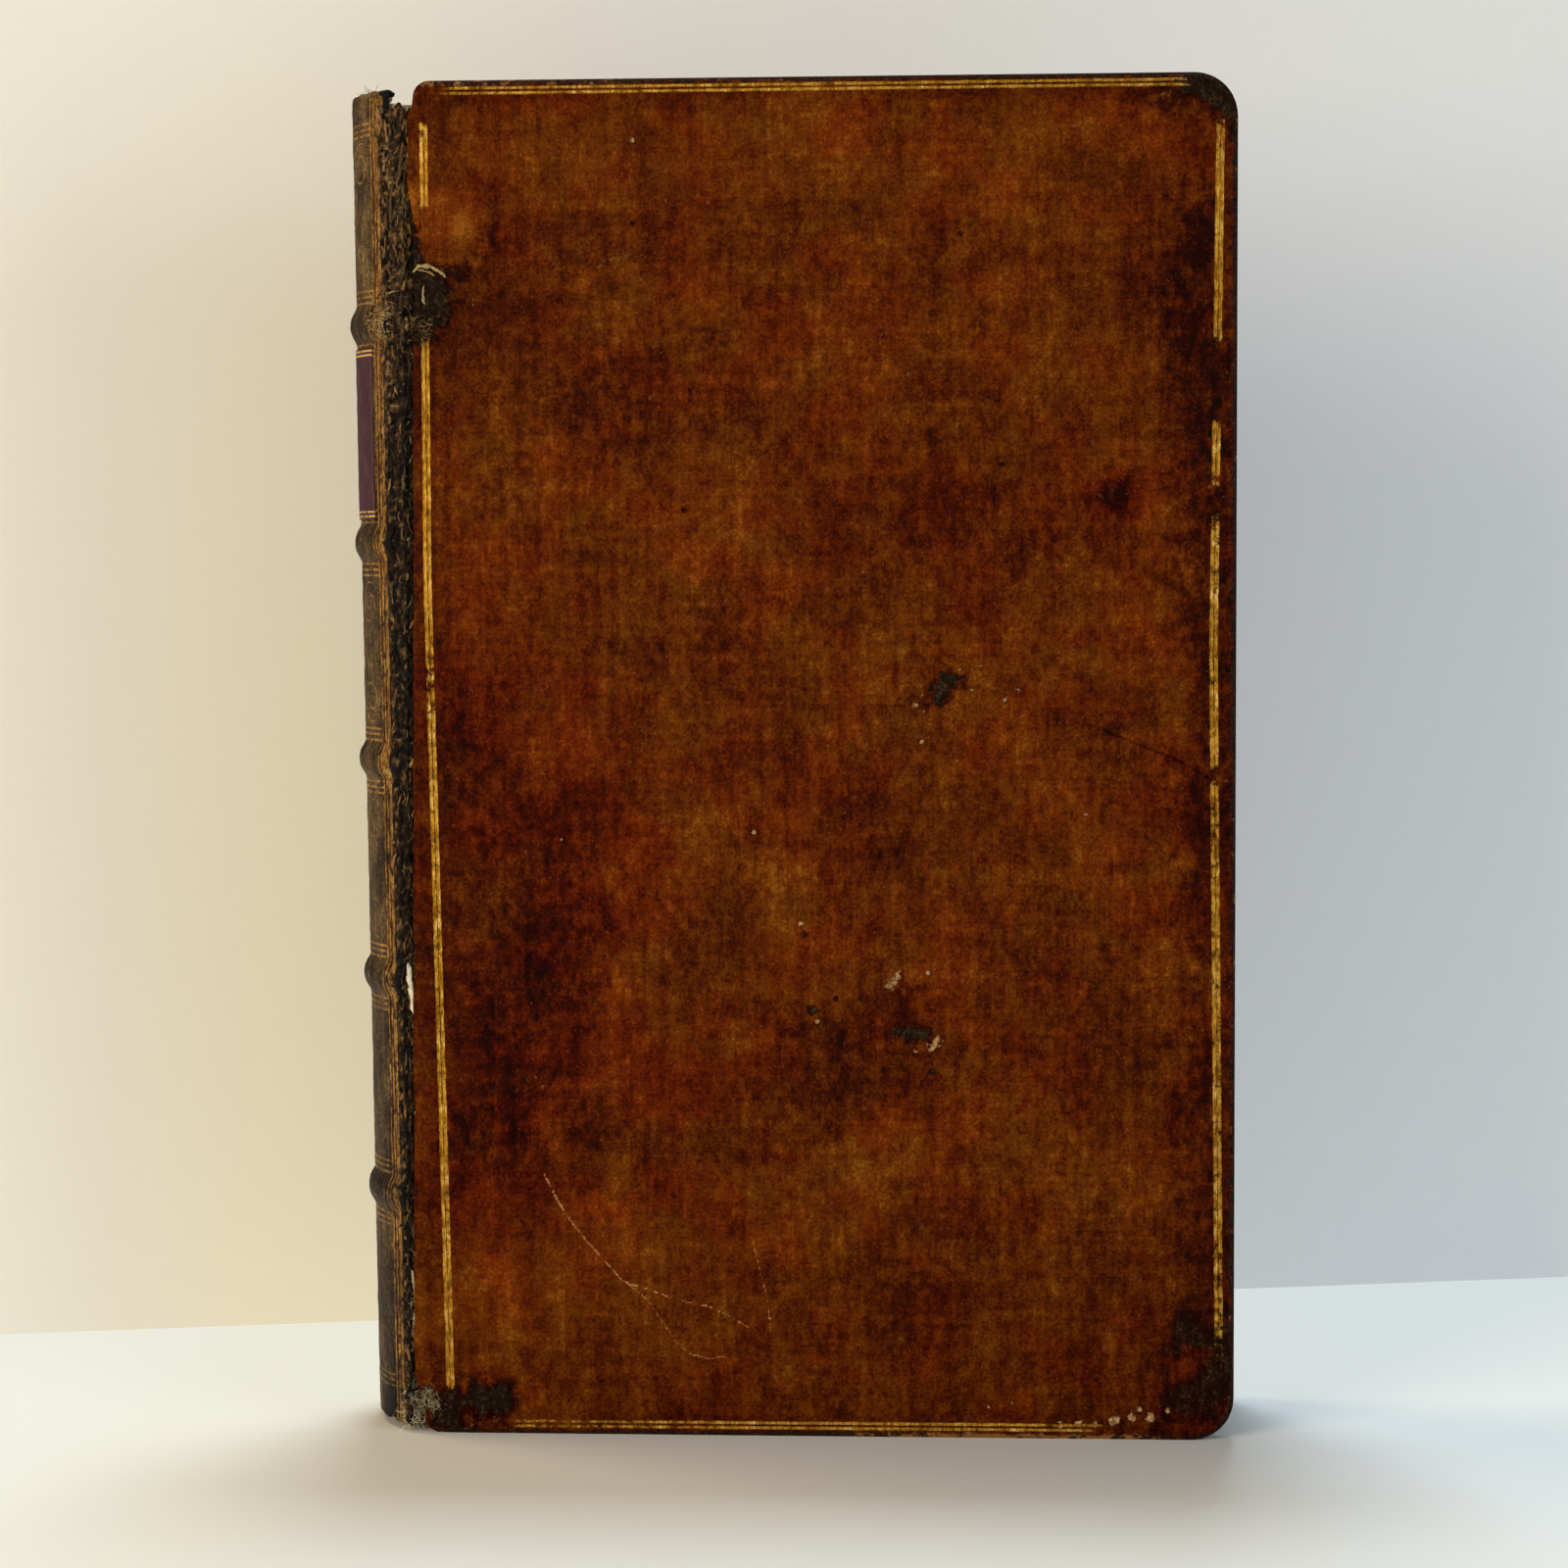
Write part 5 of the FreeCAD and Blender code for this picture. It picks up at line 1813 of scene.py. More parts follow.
@dataclass
class TitleLabel:
    """The thin label pasted in the second panel, without lettering."""

    plan: BookPlan
    half_turn: float = 38.0
    proud: float = 0.27
    skin: float = 0.2

    def build(self) -> bpy.types.Object:
        """Makes the label.

        Returns:
            The piece.
        """
        low, high = (corner.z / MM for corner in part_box("title_label"))
        turn = math.radians(self.half_turn)

        def place(angle: float, z: float) -> Vector:
            spot = Vector((angle * self.plan.spine_radius, 0, z))
            edge = min(turn - abs(angle), (z - low) / 18, (high - z) / 18)
            worn = smooth(edge, 0.0, 0.03)
            shift = (1 - worn) * ripple(spot, 1.2, 4.0)
            radius = self.plan.spine_radius + self.proud - 0.1 * (1 - worn) + 0.05 * ripple(spot, 2.5, 1.0)
            return self.plan.on_spine(angle + 0.012 * shift, radius, z + 0.2 * shift)

        angles = stations([-turn, turn], 0.03)
        bm = lattice(angles, stations([low + 0.25, high - 0.25], 0.5), place)
        piece = new_piece("label", bm, LabelFinish("label_calf", low, high).make(), self.skin, flip=True)
        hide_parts("title_label")
        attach(piece, "book_block")
        return piece


def add_tube(
    bm: bmesh.types.BMesh,
    path: Sequence[Vector],
    radii: Sequence[float],
    sides: int,
    shade: Callable[[int], Colour],
) -> None:
    """Adds a tube along a path, closed where its radius is nothing.

    Args:
        bm: The mesh that gets it.
        path: The points that it follows.
        radii: Its radius at each.
        sides: How many sides it has.
        shade: The colour at each point.
    """
    paint = bm.verts.layers.float_color.get("paint") or bm.verts.layers.float_color.new("paint")
    last = len(path) - 1
    made = bmesh.ops.create_grid(bm, x_segments=sides, y_segments=last, size=0.5)["verts"]
    for vert in made:
        i, j = round((vert.co.x + 0.5) * sides), round((vert.co.y + 0.5) * last)
        ahead = path[min(j + 1, last)] - path[max(j - 1, 0)]
        across = ahead.cross(Vector((0.31, 0.17, 0.93))).normalized()
        upward = ahead.cross(across).normalized()
        angle = 2 * math.pi * i / sides
        vert.co = path[j] + (across * math.cos(angle) + upward * math.sin(angle)) * radii[j]
        vert[paint] = shade(j)
    bmesh.ops.remove_doubles(bm, verts=made, dist=1e-4)


@dataclass
class Endbands:
    """The thread wound over a core at head and tail."""

    plan: BookPlan
    reach: float = 0.82
    thread: float = 0.46
    steps: int = 4
    sides: int = 12
    light: Colour = tint(188, 164, 120)
    deep: Colour = tint(112, 64, 44)

    def build(self) -> None:
        """Makes both bands."""
        for end in ("head", "tail"):
            low, high = (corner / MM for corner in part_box(f"{end}_endband"))
            core = (high.z - low.z) / 2
            middle = (high.z + low.z) / 2
            radius = self.plan.spine_axis_x - low.x - core
            count = round(2 * self.reach * radius / self.thread) * self.steps
            path = []
            radii = []
            for i in range(count + 1):
                path.append(self.plan.on_spine(self.reach * (2 * i / count - 1), radius, middle))
                radii.append(core * (0.86 + 0.12 * abs(math.sin(math.pi * i / self.steps))))
            path = [path[0], *path, path[-1]]
            radii = [0.0, *radii, 0.0]
            path[0] = path[0] + (path[1] - path[2]) * 0.01
            path[-1] = path[-1] + (path[-2] - path[-3]) * 0.01
            bm = bmesh.new()
            add_tube(bm, path, radii, self.sides, self.wound)
            piece = new_piece(f"{end}_threads", bm, PaintedFinish(f"{end}_thread", 0.15).make())
            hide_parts(f"{end}_endband")
            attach(piece, "book_block")

    def wound(self, step: int) -> Colour:
        """The colour of the thread at a step along the band.

        Args:
            step: How far along.

        Returns:
            One of two colours in turn.
        """
        return self.light if (step // self.steps) % 4 < 2 else self.deep


@dataclass
class BrokenJoint:
    """The cracked front joint: crumbled leather, flakes, paper shreds, frayed cord and fluff."""

    plan: BookPlan
    black: Colour = tint(20, 16, 12)
    brown: Colour = tint(58, 38, 22)
    tan: Colour = tint(164, 122, 74)
    straw: Colour = tint(186, 160, 106)
    paper: Colour = tint(236, 224, 194)
    ash: Colour = tint(56, 39, 23)
    dust: Colour = tint(92, 68, 40)
    grey: Colour = tint(142, 128, 92)
    down: Colour = tint(196, 184, 144)
    amber: Colour = tint(128, 70, 24)
    crust_drop: float = 4.0
    proud: float = 0.55
    sunk: float = 0.64

    def build(self) -> None:
        """Makes every part of the joint."""
        finish = PaintedFinish("crumbled_leather", 0.22, 0.3).make()
        dry = PaintedFinish("dry_fibre", 0.2, 0.1).make()
        self.crust(finish)
        self.flakes(finish)
        self.shreds(dry)
        self.frayed_cord(dry)
        self.joint_hairs(dry)
        self.fluff(dry)
        self.curled_rim(finish)

    def blended(self, level: float) -> Colour:
        """The crumbled leather's colour by how high a place stands, deep places near black: in the crust this paints
        the shade in the crack over the crumbs' own browns and tans.

        Args:
            level: From 0, deep, to 1, proud.

        Returns:
            The colour.
        """
        stops = (self.black, self.black, self.ash, self.dust, self.tan)
        at = min(0.999, max(0.0, level)) * (len(stops) - 1)
        low = int(at)
        return tuple(a + (b - a) * (at - low) for a, b in zip(stops[low], stops[low + 1]))

    def crust(self, finish: bpy.types.Material) -> None:
        """Makes the crumbled bottom of the joint.

        Args:
            finish: Its material.
        """
        half = self.plan.half
        edge = self.plan.joint_x
        stops = ((-3.6, 0.95), (-3.15, 0.6), (-2.7, 0.72), (-2.2, 1.1), (-1.6, 1.3), (-0.9, 1.35), (-0.36, 1.4))
        columns = stations([across for across, _ in stops], 0.2)
        top = self.plan.height - self.crust_drop

        def place(column: float, z: float) -> Vector:
            index = round(column)
            if index >= len(columns):
                return Vector((edge - 0.36 - 0.14 * (index - len(columns)), 2.2 + 1.0 * (index - len(columns)) - half, z))
            across = columns[index]
            low = max(i for i, stop in enumerate(stops[:-1]) if stop[0] <= across + 1e-6)
            (x0, d0), (x1, d1) = stops[low], stops[low + 1]
            depth = d0 + (d1 - d0) * (across - x0) / (x1 - x0)
            spot = Vector((across, 0, z))
            open_part = smooth(across, -3.5, -2.9)
            rough = 0.5 * ripple(spot, 1.2, 1.0) + 0.4 * ripple(Vector((across, 0, z / 4)), 0.5, 5.0)
            rough += 0.3 * ripple(spot, 0.45, 7.0)
            lean = self.plan.lean(z) * smooth(-across, 1.6, 3.2)
            stray = 0.2 * open_part * ripple(Vector((across * 2, 0, z)), 1.6, 9.0)
            x = min(edge + across + lean + stray, edge - 0.34)
            deepest = 1.02 if x < edge - 1.8 else 1.75
            depth = max(0.35 if across < -1.9 else 0.85, min(depth - rough * open_part, deepest))
            ragged = smooth(z, top - 2.5, top) * ripple(Vector((across * 1.4, 6, 0)), 1.0, 2.0)
            return Vector((x, depth - half, z + ragged))

        bm = lattice([float(i) for i in range(len(columns) + 2)], stations([1.6, top], 0.28), place)
        paint = bm.verts.layers.float_color.new("paint")
        for vert in bm.verts:
            depth = vert.co.y + half
            grain = Vector((vert.co.x, 0, vert.co.z / 3))
            # Painted shade: deeper places in the crack get a lower level and so a darker colour, on top of the crumbs'
            # own colour.
            level = 0.42 - 0.55 * (depth - 1.0) + 0.6 * ripple(grain, 0.5, 3.0) + 0.4 * ripple(vert.co, 0.4, 4.0)
            level += 0.2 * smooth(vert.co.z, 150, 175) - 0.12
            vert[paint] = self.blended(level)
        piece = new_piece("joint_crust", bm, finish)
        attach(piece, "book_block")

    def flakes(self, finish: bpy.types.Material) -> None:
        """Scatters torn flakes of leather along the joint.

        Args:
            finish: Their material.
        """
        draw = random.Random(7)
        bm = bmesh.new()
        paint = bm.verts.layers.float_color.new("paint")
        for number in range(420):
            z = draw.uniform(3, self.plan.height - 4)
            if number % 3 == 0:
                z = draw.uniform(165, self.plan.height - 5)
            across = draw.choice((draw.gauss(-2.9, 0.3), draw.gauss(-2.9, 0.3), draw.uniform(-2.4, -0.7)))
            across = min(-0.55, max(-3.6, across))
            depth = 0.6 if across < -2.2 else draw.uniform(0.85, 1.15)
            length, width = draw.uniform(0.4, 2.2), draw.uniform(0.1, 0.4)
            turn = Matrix.Rotation(draw.gauss(0, 0.25), 3, "Y") @ Matrix.Rotation(draw.gauss(0, 0.5), 3, "Z")
            x = self.plan.joint_x + across + self.plan.lean(z) * smooth(-across, 1.6, 3.2)
            middle = Vector((x, depth - self.plan.half, z))
            shade = self.blended(draw.choice((0.2, 0.5, 0.6, 0.8, 0.98)))
            seed = draw.uniform(0, 50)
            made = bmesh.ops.create_grid(bm, x_segments=3, y_segments=6, size=0.5)["verts"]
            for vert in made:
                a, b = vert.co.x, vert.co.y
                spot = Vector((a * 2, seed, b * 3))
                taper = 1 - 0.75 * abs(2 * b) ** 3
                local = Vector((a * width * taper, -0.18 * math.cos(3 * b), b * length))
                local += Vector((0.1, 0.1, 0.16)) * ripple(spot, 1.0, seed)
                vert.co = middle + turn @ local
                vert.co.x = min(vert.co.x, self.plan.joint_x - 0.25)
                vert.co.y = max(vert.co.y, 0.05 - self.plan.half)
                vert[paint] = shade
        piece = new_piece("joint_flakes", bm, finish, 0.08)
        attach(piece, "book_block")

    def shreds(self, finish: bpy.types.Material) -> None:
        """Makes the torn strips of lining paper and leather that stand in the joint.

        Args:
            finish: Their material.
        """
        strips = (
            ((-2.0, 72.2), (-1.75, 68.0), (-1.2, 64.4), 0.8, self.paper),
            ((-1.5, 18.4), (-1.35, 16.0), (-1.2, 13.6), 0.65, self.paper),
            ((-1.9, 25.0), (-1.0, 17.5), (-0.7, 9.5), 0.34, self.down),
            ((-1.0, 49.6), (-0.9, 48.8), (-0.8, 48.0), 0.5, self.paper),
            ((-3.6, 201.0), (-3.1, 198.5), (-2.6, 195.6), 0.85, self.tan),
            ((-3.3, 192.0), (-3.1, 186.0), (-3.4, 178.0), 0.3, self.brown),
            ((-2.4, 190.0), (-2.7, 186.0), (-2.5, 181.0), 0.35, self.dust),
            ((-1.7, 196.0), (-1.9, 192.5), (-2.1, 190.0), 0.4, self.dust),
        )
        bm = bmesh.new()
        paint = bm.verts.layers.float_color.new("paint")
        for number, (start, middle, end, width, shade) in enumerate(strips):
            made = bmesh.ops.create_grid(bm, x_segments=4, y_segments=18, size=0.5)["verts"]
            for vert in made:
                a, t = vert.co.x, vert.co.y + 0.5
                bend = [(1 - t) ** 2 * p + 2 * t * (1 - t) * q + t * t * r for p, q, r in zip(start, middle, end)]
                spot = Vector((number * 7.0, a, bend[1]))
                full = width * min(1.0, 7 * t + 0.1, 7 * (1 - t) + 0.1) * (1 + 0.5 * ripple(spot, 0.9, 1.0))
                x = self.plan.joint_x + bend[0] + a * full + 0.12 * ripple(spot, 1.1, 4.0)
                x += self.plan.lean(bend[1]) * smooth(-bend[0], 1.6, 3.2)
                y = 0.62 - self.plan.half + 0.3 * ripple(spot, 1.5, 2.0) + 0.8 * abs(a) ** 2
                vert.co = Vector((min(x, self.plan.joint_x - 0.22), max(y, 0.08 - self.plan.half), bend[1]))
                vert[paint] = shade
        piece = new_piece("joint_shreds", bm, finish, 0.1)
        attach(piece, "book_block")

    def strand(self, draw: random.Random, start: Vector, way: Vector, curl: float) -> list[Vector]:
        """Bends one short fibre.

        Args:
            draw: The random numbers.
            start: Where it begins.
            way: Its length and direction.
            curl: How far it strays.

        Returns:
            Its points.
        """
        seed = draw.uniform(0, 99)
        points = []
        for i in range(9):
            t = i / 8
            stray = Vector(
                (ripple(Vector((t * 1.5, seed, k)), 1.0, seed, 2) for k in (0.0, 3.0, 6.0))
            )
            points.append(start + way * t + stray * curl * t)
        return points

    def bundle(
        self,
        name: str,
        finish: bpy.types.Material,
        fibres: Sequence[tuple[list[Vector], float, Colour]],
        body: str,
    ) -> None:
        """Makes many fibres as one piece.

        Args:
            name: The piece's name.
            finish: Its material.
            fibres: Points, radius and colour of each.
            body: The body that it rides on.
        """
        bm = bmesh.new()
        bm.verts.layers.float_color.new("paint")
        for path, radius, colour in fibres:
            last = len(path) - 1
            radii = [radius * math.sin(math.pi * (0.12 + 0.88 * i / last)) if i < last else 0.0 for i in range(last + 1)]
            radii[0] = 0.0
            add_tube(bm, path, radii, 4, lambda _, shade=colour: shade)
        piece = new_piece(name, bm, finish)
        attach(piece, body)

    def frayed_cord(self, finish: bpy.types.Material) -> None:
        """Makes the frayed end of the top cord, on the spine and on the cover.

        Args:
            finish: Its material.
        """
        draw = random.Random(11)
        band = self.plan.bands[-1]
        fibres = []
        for _ in range(330):
            z = band + draw.gauss(0.8, 1.8)
            angle = -draw.uniform(0.66, 0.9)
            radius = self.plan.spine_radius + self.plan.band_swell(z) + draw.uniform(0.0, 0.3)
            start = self.plan.on_spine(angle, radius, z)
            way = Vector((draw.uniform(0.2, 1.7), draw.uniform(-0.4, 0.1), draw.gauss(0, 0.8)))
            shade = draw.choice((self.straw, self.straw, self.tan, self.ash, self.brown))
            path = self.strand(draw, start, way, 0.9)
            for point in path:
                point.y = max(point.y, 0.15 - self.plan.half)
                point.x = min(point.x, self.plan.joint_x - 0.3)
            fibres.append((path, draw.uniform(0.03, 0.07), shade))
        self.bundle("frayed_cord", finish, fibres, "book_block")
        fibres = []
        for _ in range(190):
            z = band + draw.gauss(-1.0, 0.9)
            start = Vector((self.plan.joint_x + draw.uniform(-1.2, 2.4), 0.05 - self.plan.half, z))
            way = Vector((draw.uniform(0.3, 1.8), draw.uniform(-0.25, 0.1), draw.gauss(0.1, 0.5)))
            shade = draw.choice((self.black, self.brown, self.ash, self.ash, self.tan))
            path = self.strand(draw, start, way, 0.5)
            for point in path:
                point.y = max(point.y, -self.plan.half - self.proud)
            fibres.append((path, draw.uniform(0.03, 0.07), shade))
        self.bundle("slip_fibres", finish, fibres, "front_cover")

    def joint_hairs(self, finish: bpy.types.Material) -> None:
        """Makes the fine torn fibres that stand along the whole joint.

        Args:
            finish: Their material.
        """
        draw = random.Random(31)
        half = self.plan.half
        fibres = []
        for number in range(620):
            z = draw.uniform(6, self.plan.height - 8)
            if number % 2:
                z = draw.choice((draw.gauss(66, 5), draw.gauss(25, 7), draw.gauss(186, 8)))
            across = draw.uniform(-2.6, -0.5)
            start = Vector((self.plan.joint_x + across, draw.uniform(0.6, 1.0) - half, z))
            way = Vector((draw.gauss(0, 0.35), draw.uniform(-0.3, 0.1), draw.gauss(0, 1.5)))
            path = self.strand(draw, start, way, 0.8)
            for point in path:
                point.x = min(point.x, self.plan.joint_x - 0.3)
                point.y = max(point.y, 0.08 - half)
                point.z = min(point.z, self.plan.height - self.crust_drop)
            shade = draw.choice((self.ash, self.dust, self.dust, self.tan, self.grey, self.straw))
            fibres.append((path, draw.uniform(0.02, 0.045), shade))
        self.bundle("joint_hairs", finish, fibres, "book_block")

    def fluff(self, finish: bpy.types.Material) -> None:
        """Makes the dusty fluff at the tail of the joint and the loose hairs at its head.

        Args:
            finish: Its material.
        """
        draw = random.Random(23)
        half = self.plan.half
        groups = (
            ("tail_fluff", "book_block", 130, (-1.8, 5.2), (1.1, 2.1), (self.grey, self.ash, self.down, self.paper), 2.0),
            ("corner_fluff", "front_cover", 70, (0.6, 5.2), (1.3, 1.4), (self.grey, self.down, self.grey), 1.9),
            ("hanging_fluff", "book_block", 70, (-2.0, 2.4), (1.5, 1.1), (self.paper, self.paper, self.down), 1.9),
            ("joint_fluff", "book_block", 60, (-1.9, 18.0), (0.25, 3.4), (self.paper, self.down, self.paper), 0.9),
            ("head_hairs", "book_block", 16, (-5.0, 203.2), (1.4, 0.4), (self.brown, self.tan, self.straw), 1.6),
        )
        for name, body, count, (across, up), (spread_x, spread_z), shades, reach in groups:
            fibres = []
            for _ in range(count):
                x = self.plan.joint_x + across + draw.gauss(0, spread_x * 0.6)
                z = up + draw.gauss(0, spread_z * 0.7)
                depth = draw.uniform(0.75, 1.3) if body == "book_block" else draw.uniform(-0.15, 0.05)
                if up > self.plan.height / 2:
                    x += self.plan.lean(z)
                    depth = draw.uniform(0.6, 2.4)
                way = Vector((draw.gauss(0, 1), draw.gauss(0, 0.3), draw.gauss(0, 1))) * reach * 0.55
                path = self.strand(draw, Vector((x, depth - half, z)), way, 1.5)
                for point in path:
                    point.z = min(max(point.z, 0.15), self.plan.height + 0.2)
                    if body == "book_block":
                        point.x = min(point.x, self.plan.joint_x - 0.3)
                        point.y = max(point.y, self.sunk - half)
                    else:
                        point.x = max(point.x, self.plan.joint_x - 0.4)
                        point.y = max(min(point.y, 0.1 - half), 0.1 - self.proud - half)
                fibres.append((path, draw.uniform(0.025, 0.06), draw.choice(shades)))
            self.bundle(name, finish, fibres, body)

    def curled_rim(self, finish: bpy.types.Material) -> None:
        """Makes the curled rim of torn leather below the loss on the cover.

        Args:
            finish: Its material.
        """
        bm = bmesh.new()
        bm.verts.layers.float_color.new("paint")
        curls = (
            (((-0.3, 176.4), (0.6, 177.4), (2.4, 177.3), (3.8, 176.6), (4.9, 175.4)), 0.42, self.straw),
            (((0.3, 176.9), (1.8, 176.5), (3.4, 175.9)), 0.24, self.tan),
            (((1.5, 174.6), (1.2, 173.0), (1.5, 171.2)), 0.26, self.straw),
            (((0.3, 187.8), (1.0, 184.9), (1.6, 182.0), (2.9, 179.6), (4.4, 178.6)), 0.18, self.amber),
        )
        for number, (stops, radius, shade) in enumerate(curls):
            path = []
            for (u0, z0), (u1, z1) in zip(stops, stops[1:]):
                for i in range(8):
                    t = i / 8
                    spot = Vector((number, 0, z0 + (z1 - z0) * t))
                    stray = 0.22 * ripple(spot, 0.8, 2.0)
                    u = u0 + (u1 - u0) * t + stray
                    path.append(Vector((self.plan.joint_x + u, 0.2 - self.plan.half, spot.z + stray)))
            last = len(path) - 1
            radii = [
                radius * (0.75 + 0.4 * ripple(point, 0.9, 5.0)) * math.sin(math.pi * i / last) ** 0.4
                for i, point in enumerate(path)
            ]
            add_tube(bm, path, radii, 7, lambda _, colour=shade: colour)
        piece = new_piece("curled_rims", bm, finish)
        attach(piece, "front_cover")


@dataclass
class SoundJoint:
    """The leather that bends over the rear joint."""

    plan: BookPlan
    wall: float = 0.45

    def build(self) -> bpy.types.Object:
        """Makes the strip.

        Returns:
            The piece.
        """
        edge = self.plan.joint_x
        half = self.plan.half
        profile = ((-3.4, 0.75), (-2.9, 0.5), (-2.4, 0.42), (-1.9, 0.5), (-1.4, 0.55), (-0.9, 0.42), (-0.45, 0.2),
                   (-0.1, 0.1), (0.3, 0.02))

        def place(column: float, z: float) -> Vector:
            across, depth = profile[round(column)]
            spot = Vector((across, 9, z))
            depth += 0.05 * ripple(spot, 1.5, 2.0)
            lean = self.plan.lean(z) * smooth(-across, 1.4, 3.2)
            return Vector((edge + across + lean, half - depth, z))

        bm = lattice([float(i) for i in range(len(profile))], stations([1.0, self.plan.height - 1.0], 0.8), place)
        paint = bm.verts.layers.float_color.new("marks")
        for vert in bm.verts:
            crease = max(0.0, ripple(Vector((vert.co.x, 0, vert.co.z / 5)), 0.8, 3.0))
            vert[paint] = (0.35 + 0.3 * ripple(vert.co, 5, 1.0), 0.6 * crease, 0.0, 1.0)
        finish = SpineCalfFinish("joint_calf", self.plan, (), ()).make()
        piece = new_piece("rear_joint", bm, finish, self.wall)
        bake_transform(piece)
        return piece


@dataclass
class HingeCords:
    """The five cords where they leave the back and enter each board."""

    plan: BookPlan
    ply: float = 0.42
    twist: float = 3.2
    light: Colour = tint(176, 148, 100)
    deep: Colour = tint(112, 84, 50)

    def build(self) -> None:
        """Makes the cords of both joints."""
        for side in Side:
            bm = bmesh.new()
            bm.verts.layers.float_color.new("paint")
            for number, band in enumerate(self.plan.bands):
                for ply in range(3):
                    self.add_ply(bm, side, band, number, ply)
            word = side.name.lower()
            piece = new_piece(f"{word}_hinge_cords", bm, PaintedFinish(f"{word}_flax", 0.15).make())
            edge = self.plan.joint_x
            y = side.value * self.plan.half * MM
            start, end = ((edge - 1.2) * MM, y, 0.1), ((edge + 0.2) * MM, y, 0.1)
            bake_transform(piece)
            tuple(start)
            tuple(end)

    def add_ply(self, bm: bmesh.types.BMesh, side: Side, band: float, number: int, ply: int) -> None:
        """Adds one ply of one cord.

        Args:
            bm: The mesh that gets it.
            side: The cover that the cord goes to.
            band: Its height.
            number: Which cord it is.
            ply: Which ply.
        """
        stops = ((-3.2, 1.5), (-2.2, 1.75), (-1.2, 1.9), (-0.2, 1.95), (0.8, 1.95))
        path = []
        for (x0, d0), (x1, d1) in zip(stops, stops[1:]):
            for i in range(6):
                t = i / 6
                across, depth = x0 + (x1 - x0) * t, d0 + (d1 - d0) * t
                angle = 2 * math.pi * (across / self.twist + ply / 3)
                y = side.value * (self.plan.half - depth + 0.32 * math.cos(angle))
                x = self.plan.joint_x + across + self.plan.lean(band) * smooth(-across, 1.6, 3.2)
                path.append(Vector((x, y, band + 0.62 * math.sin(angle))))
        radii = [self.ply] * len(path)
        radii[0] = radii[-1] = 0.0
        shade = self.light if (number + ply) % 2 else self.deep
        add_tube(bm, path, radii, 7, lambda _: shade)


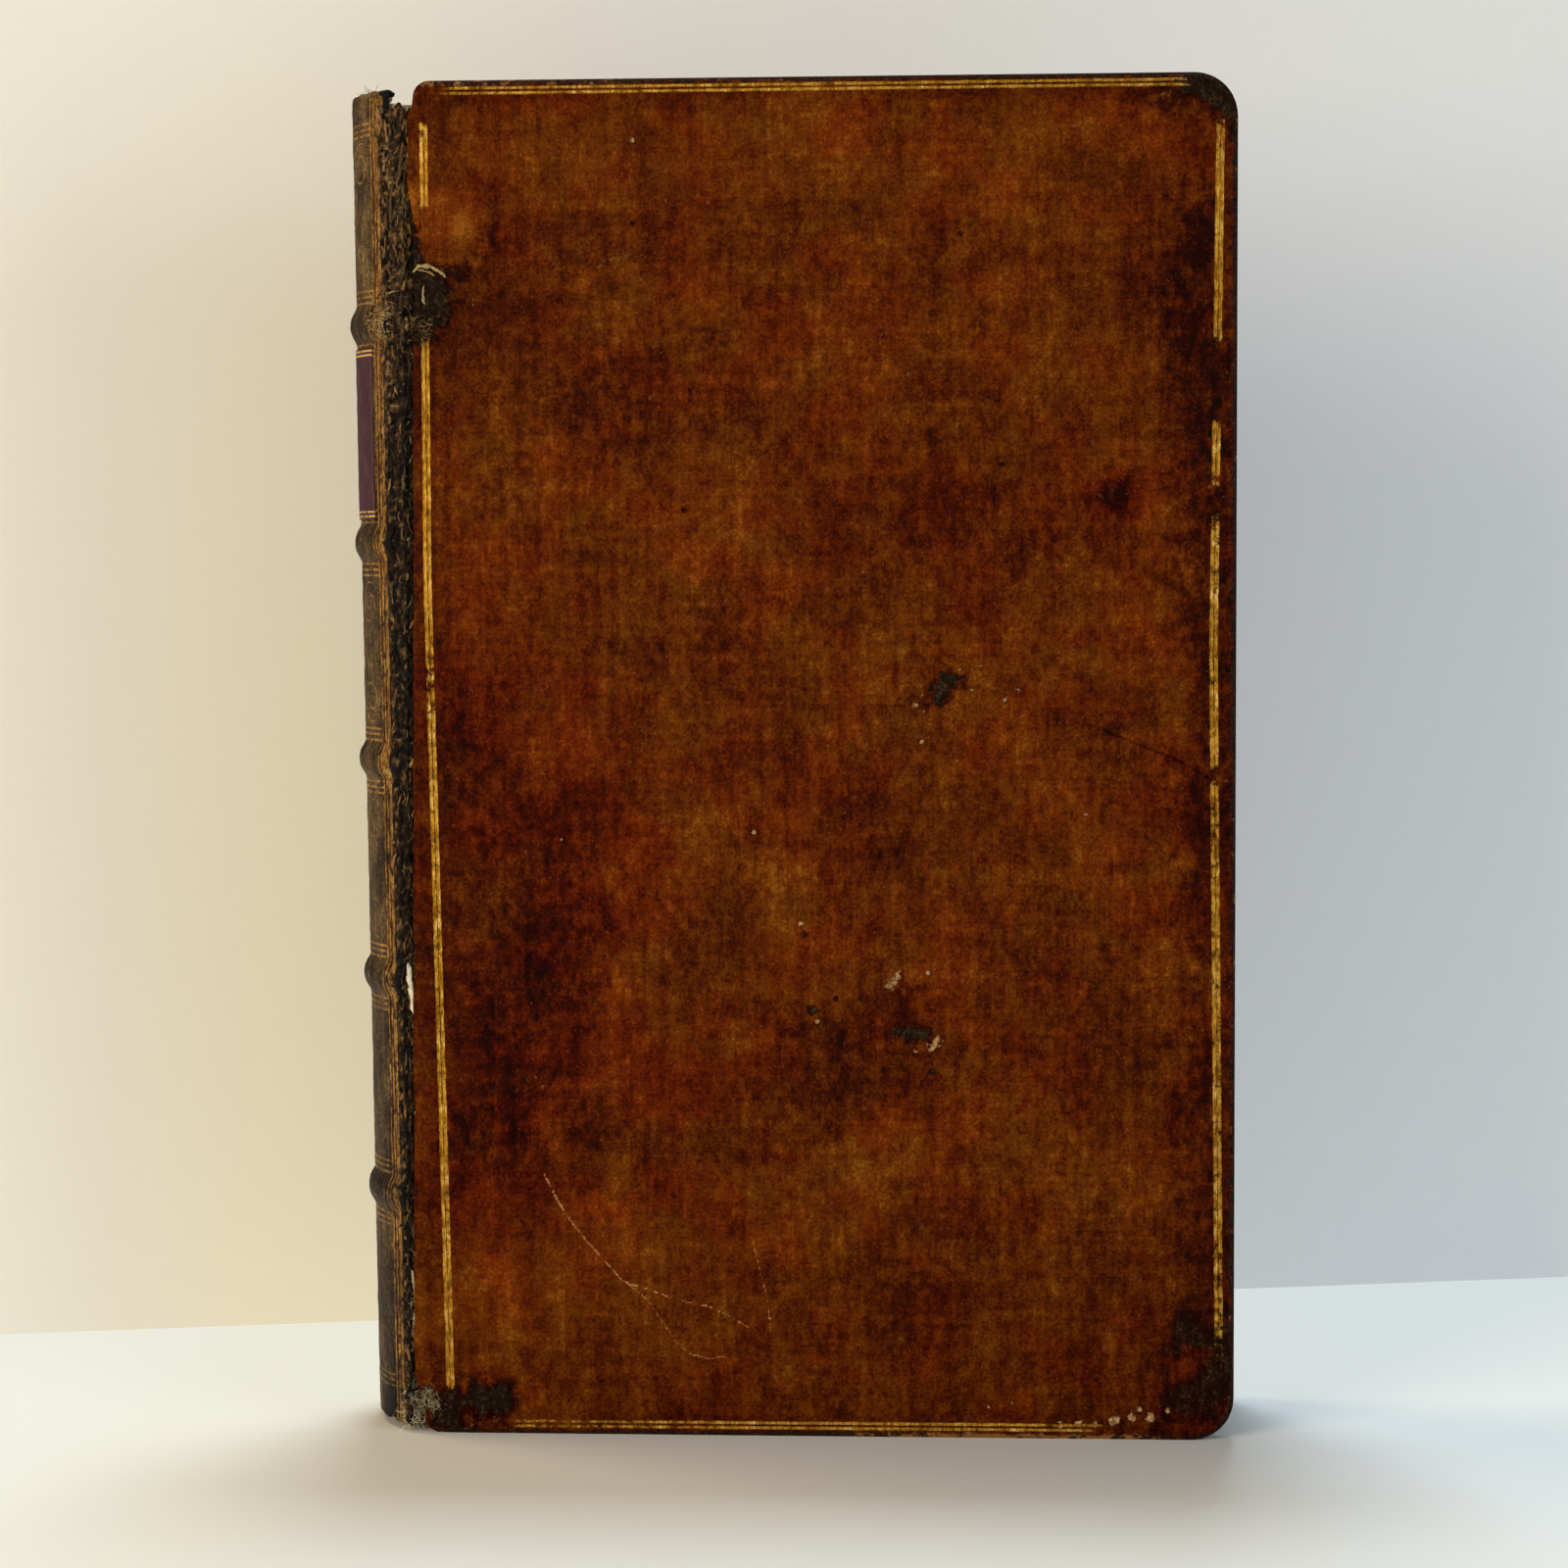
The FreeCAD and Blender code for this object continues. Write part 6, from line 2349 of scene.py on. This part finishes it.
@dataclass
class Studio:
    """The pale floor and wall, the lamps and the camera at the photograph's place."""

    camera_place: tuple[float, float, float] = (32.68, -574.71, 133.31)
    pitch: float = 3.453
    yaw: float = 3.43
    roll: float = -0.219
    lens: float = 85.68
    wall_left: tuple[float, float] = (-138.9, 54.8)
    wall_right: tuple[float, float] = (136.7, 117.3)

    def build(self) -> None:
        """Makes the stage, the lamps and the camera."""
        self.place_camera()
        self.lay_floor()
        self.raise_wall()
        self.hang_lamps()

    def place_camera(self) -> None:
        """Puts the camera where the photograph was taken."""
        data = bpy.data.cameras.new("camera")
        data.lens = self.lens
        data.sensor_width = 36
        camera = bpy.data.objects.new("camera", data)
        turn = (
            Matrix.Rotation(math.radians(self.yaw), 4, "Z")
            @ Matrix.Rotation(math.radians(90 - self.pitch), 4, "X")
            @ Matrix.Rotation(math.radians(self.roll), 4, "Z")
        )
        camera.matrix_world = Matrix.Translation(Vector(self.camera_place) * MM) @ turn
        bpy.context.scene.collection.objects.link(camera)
        bpy.context.scene.camera = camera

    def lay_floor(self) -> None:
        """Makes the floor."""
        bm = bmesh.new()
        bmesh.ops.create_grid(bm, x_segments=1, y_segments=1, size=3000)
        # The floor's paint holds painted light: warmer on the left, cooler on the right, with a painted warm glow of
        # bounce light beside the book.
        floor = new_piece("floor", bm, WallFinish("floor_paint", tint(247, 243, 232), tint(243, 244, 240), tint(247, 240, 222)).make())

    def raise_wall(self) -> None:
        """Makes the wall behind the book, which lets light and the back views through."""
        left, right = Vector((*self.wall_left, 0)), Vector((*self.wall_right, 0))
        along = (right - left).normalized()
        bm = bmesh.new()
        bmesh.ops.create_grid(bm, x_segments=1, y_segments=1, size=0.5)
        for vert in bm.verts:
            vert.co = left + along * (vert.co.x * 3000) + Vector((0, 0, (vert.co.y + 0.5) * 1600))
        # The wall's paint holds painted light: warmer on the left, cooler on the right, with a painted warm glow of
        # bounce light beside the book.
        paint = WallFinish("wall_paint", tint(243, 240, 232), tint(241, 240, 237), tint(252, 244, 220), True)
        wall = new_piece("wall", bm, paint.make())
        wall.visible_shadow = False
        wall.visible_diffuse = False
        wall.visible_glossy = False

    def hang_lamps(self) -> None:
        """Hangs a warm lamp on the left, a cool one on the right and a soft sky."""
        lamps = (
            ("key", (-680, -860, 380), 620, 7.5, (1.08, 0.94, 0.72)),
            ("fill", (900, -640, 240), 620, 3.8, (0.89, 1.0, 1.17)),
            ("overhead", (-430, 115, 1000), 240, 1.9, (1.15, 0.92, 0.55)),
            ("back", (0, 240, 1000), 240, 5.6, (0.83, 0.99, 1.12)),
        )
        target = Vector((0, 0, 100)) * MM
        for name, place, size, power, colour in lamps:
            data = bpy.data.lights.new(name, "AREA")
            data.size = size * MM
            data.energy = power
            data.color = colour
            lamp = bpy.data.objects.new(name, data)
            lamp.location = Vector(place) * MM
            lamp.rotation_euler = (target - lamp.location).to_track_quat("-Z", "Y").to_euler()
            bpy.context.scene.collection.objects.link(lamp)
        world = bpy.data.worlds.new("sky")
        world.use_nodes = True
        world.node_tree.nodes["Background"].inputs[0].default_value = (0.94, 1.0, 1.1, 1.0)
        world.node_tree.nodes["Background"].inputs[1].default_value = 0.14
        bpy.context.scene.world = world
        bpy.context.scene.view_settings.view_transform = "Standard"


class NodeDresser:
    """Gives the CAD nodes that stay in view their finishes."""

    def dress(self, nodes: dict[str, bpy.types.Object]) -> None:
        """Puts a material on each node that stays.

        Args:
            nodes: The CAD nodes by name.
        """
        endpaper = PaperFinish("endpaper").make()
        lining = PaperFinish("lining_paper", tint(222, 212, 190), tint(176, 150, 112), False).make()
        flax = FibreFinish("flax", tint(196, 168, 118), tint(104, 76, 42)).make()
        board = FibreFinish("pasteboard", tint(168, 146, 108), tint(104, 84, 56), 0.4, (8, 1, 8)).make()
        label = FibreFinish("label_skin", tint(74, 34, 40), tint(40, 14, 20), 0.5, (1, 1, 2)).make()
        finishes = {
            "endpaper": endpaper,
            "pastedown": endpaper,
            "lining": lining,
            "cord": flax,
            "endband": flax,
            "board": board,
            "label": label,
        }
        for name, node in nodes.items():
            for word, finish in finishes.items():
                if word in name:
                    node.data.materials.clear()
                    node.data.materials.append(finish)
                    break


def main() -> None:
    """Builds every piece in order."""
    logging.basicConfig(level=logging.INFO, format="%(name)s: %(message)s")
    plan = BookPlan.from_frame()
    gilding = GiltFrame(plan)
    Studio().build()
    NodeDresser().dress(frame["nodes"])
    CoverLeather(Side.FRONT, plan, gilding, FRONT_MARKS).build()
    CoverLeather(Side.BACK, plan, gilding, BACK_MARKS).build()
    SpineLeather(plan).build()
    TitleLabel(plan).build()
    Leaves(plan).build()
    Endbands(plan).build()
    BrokenJoint(plan).build()
    SoundJoint(plan).build()
    HingeCords(plan).build()


if __name__ == "__main__":
    main()
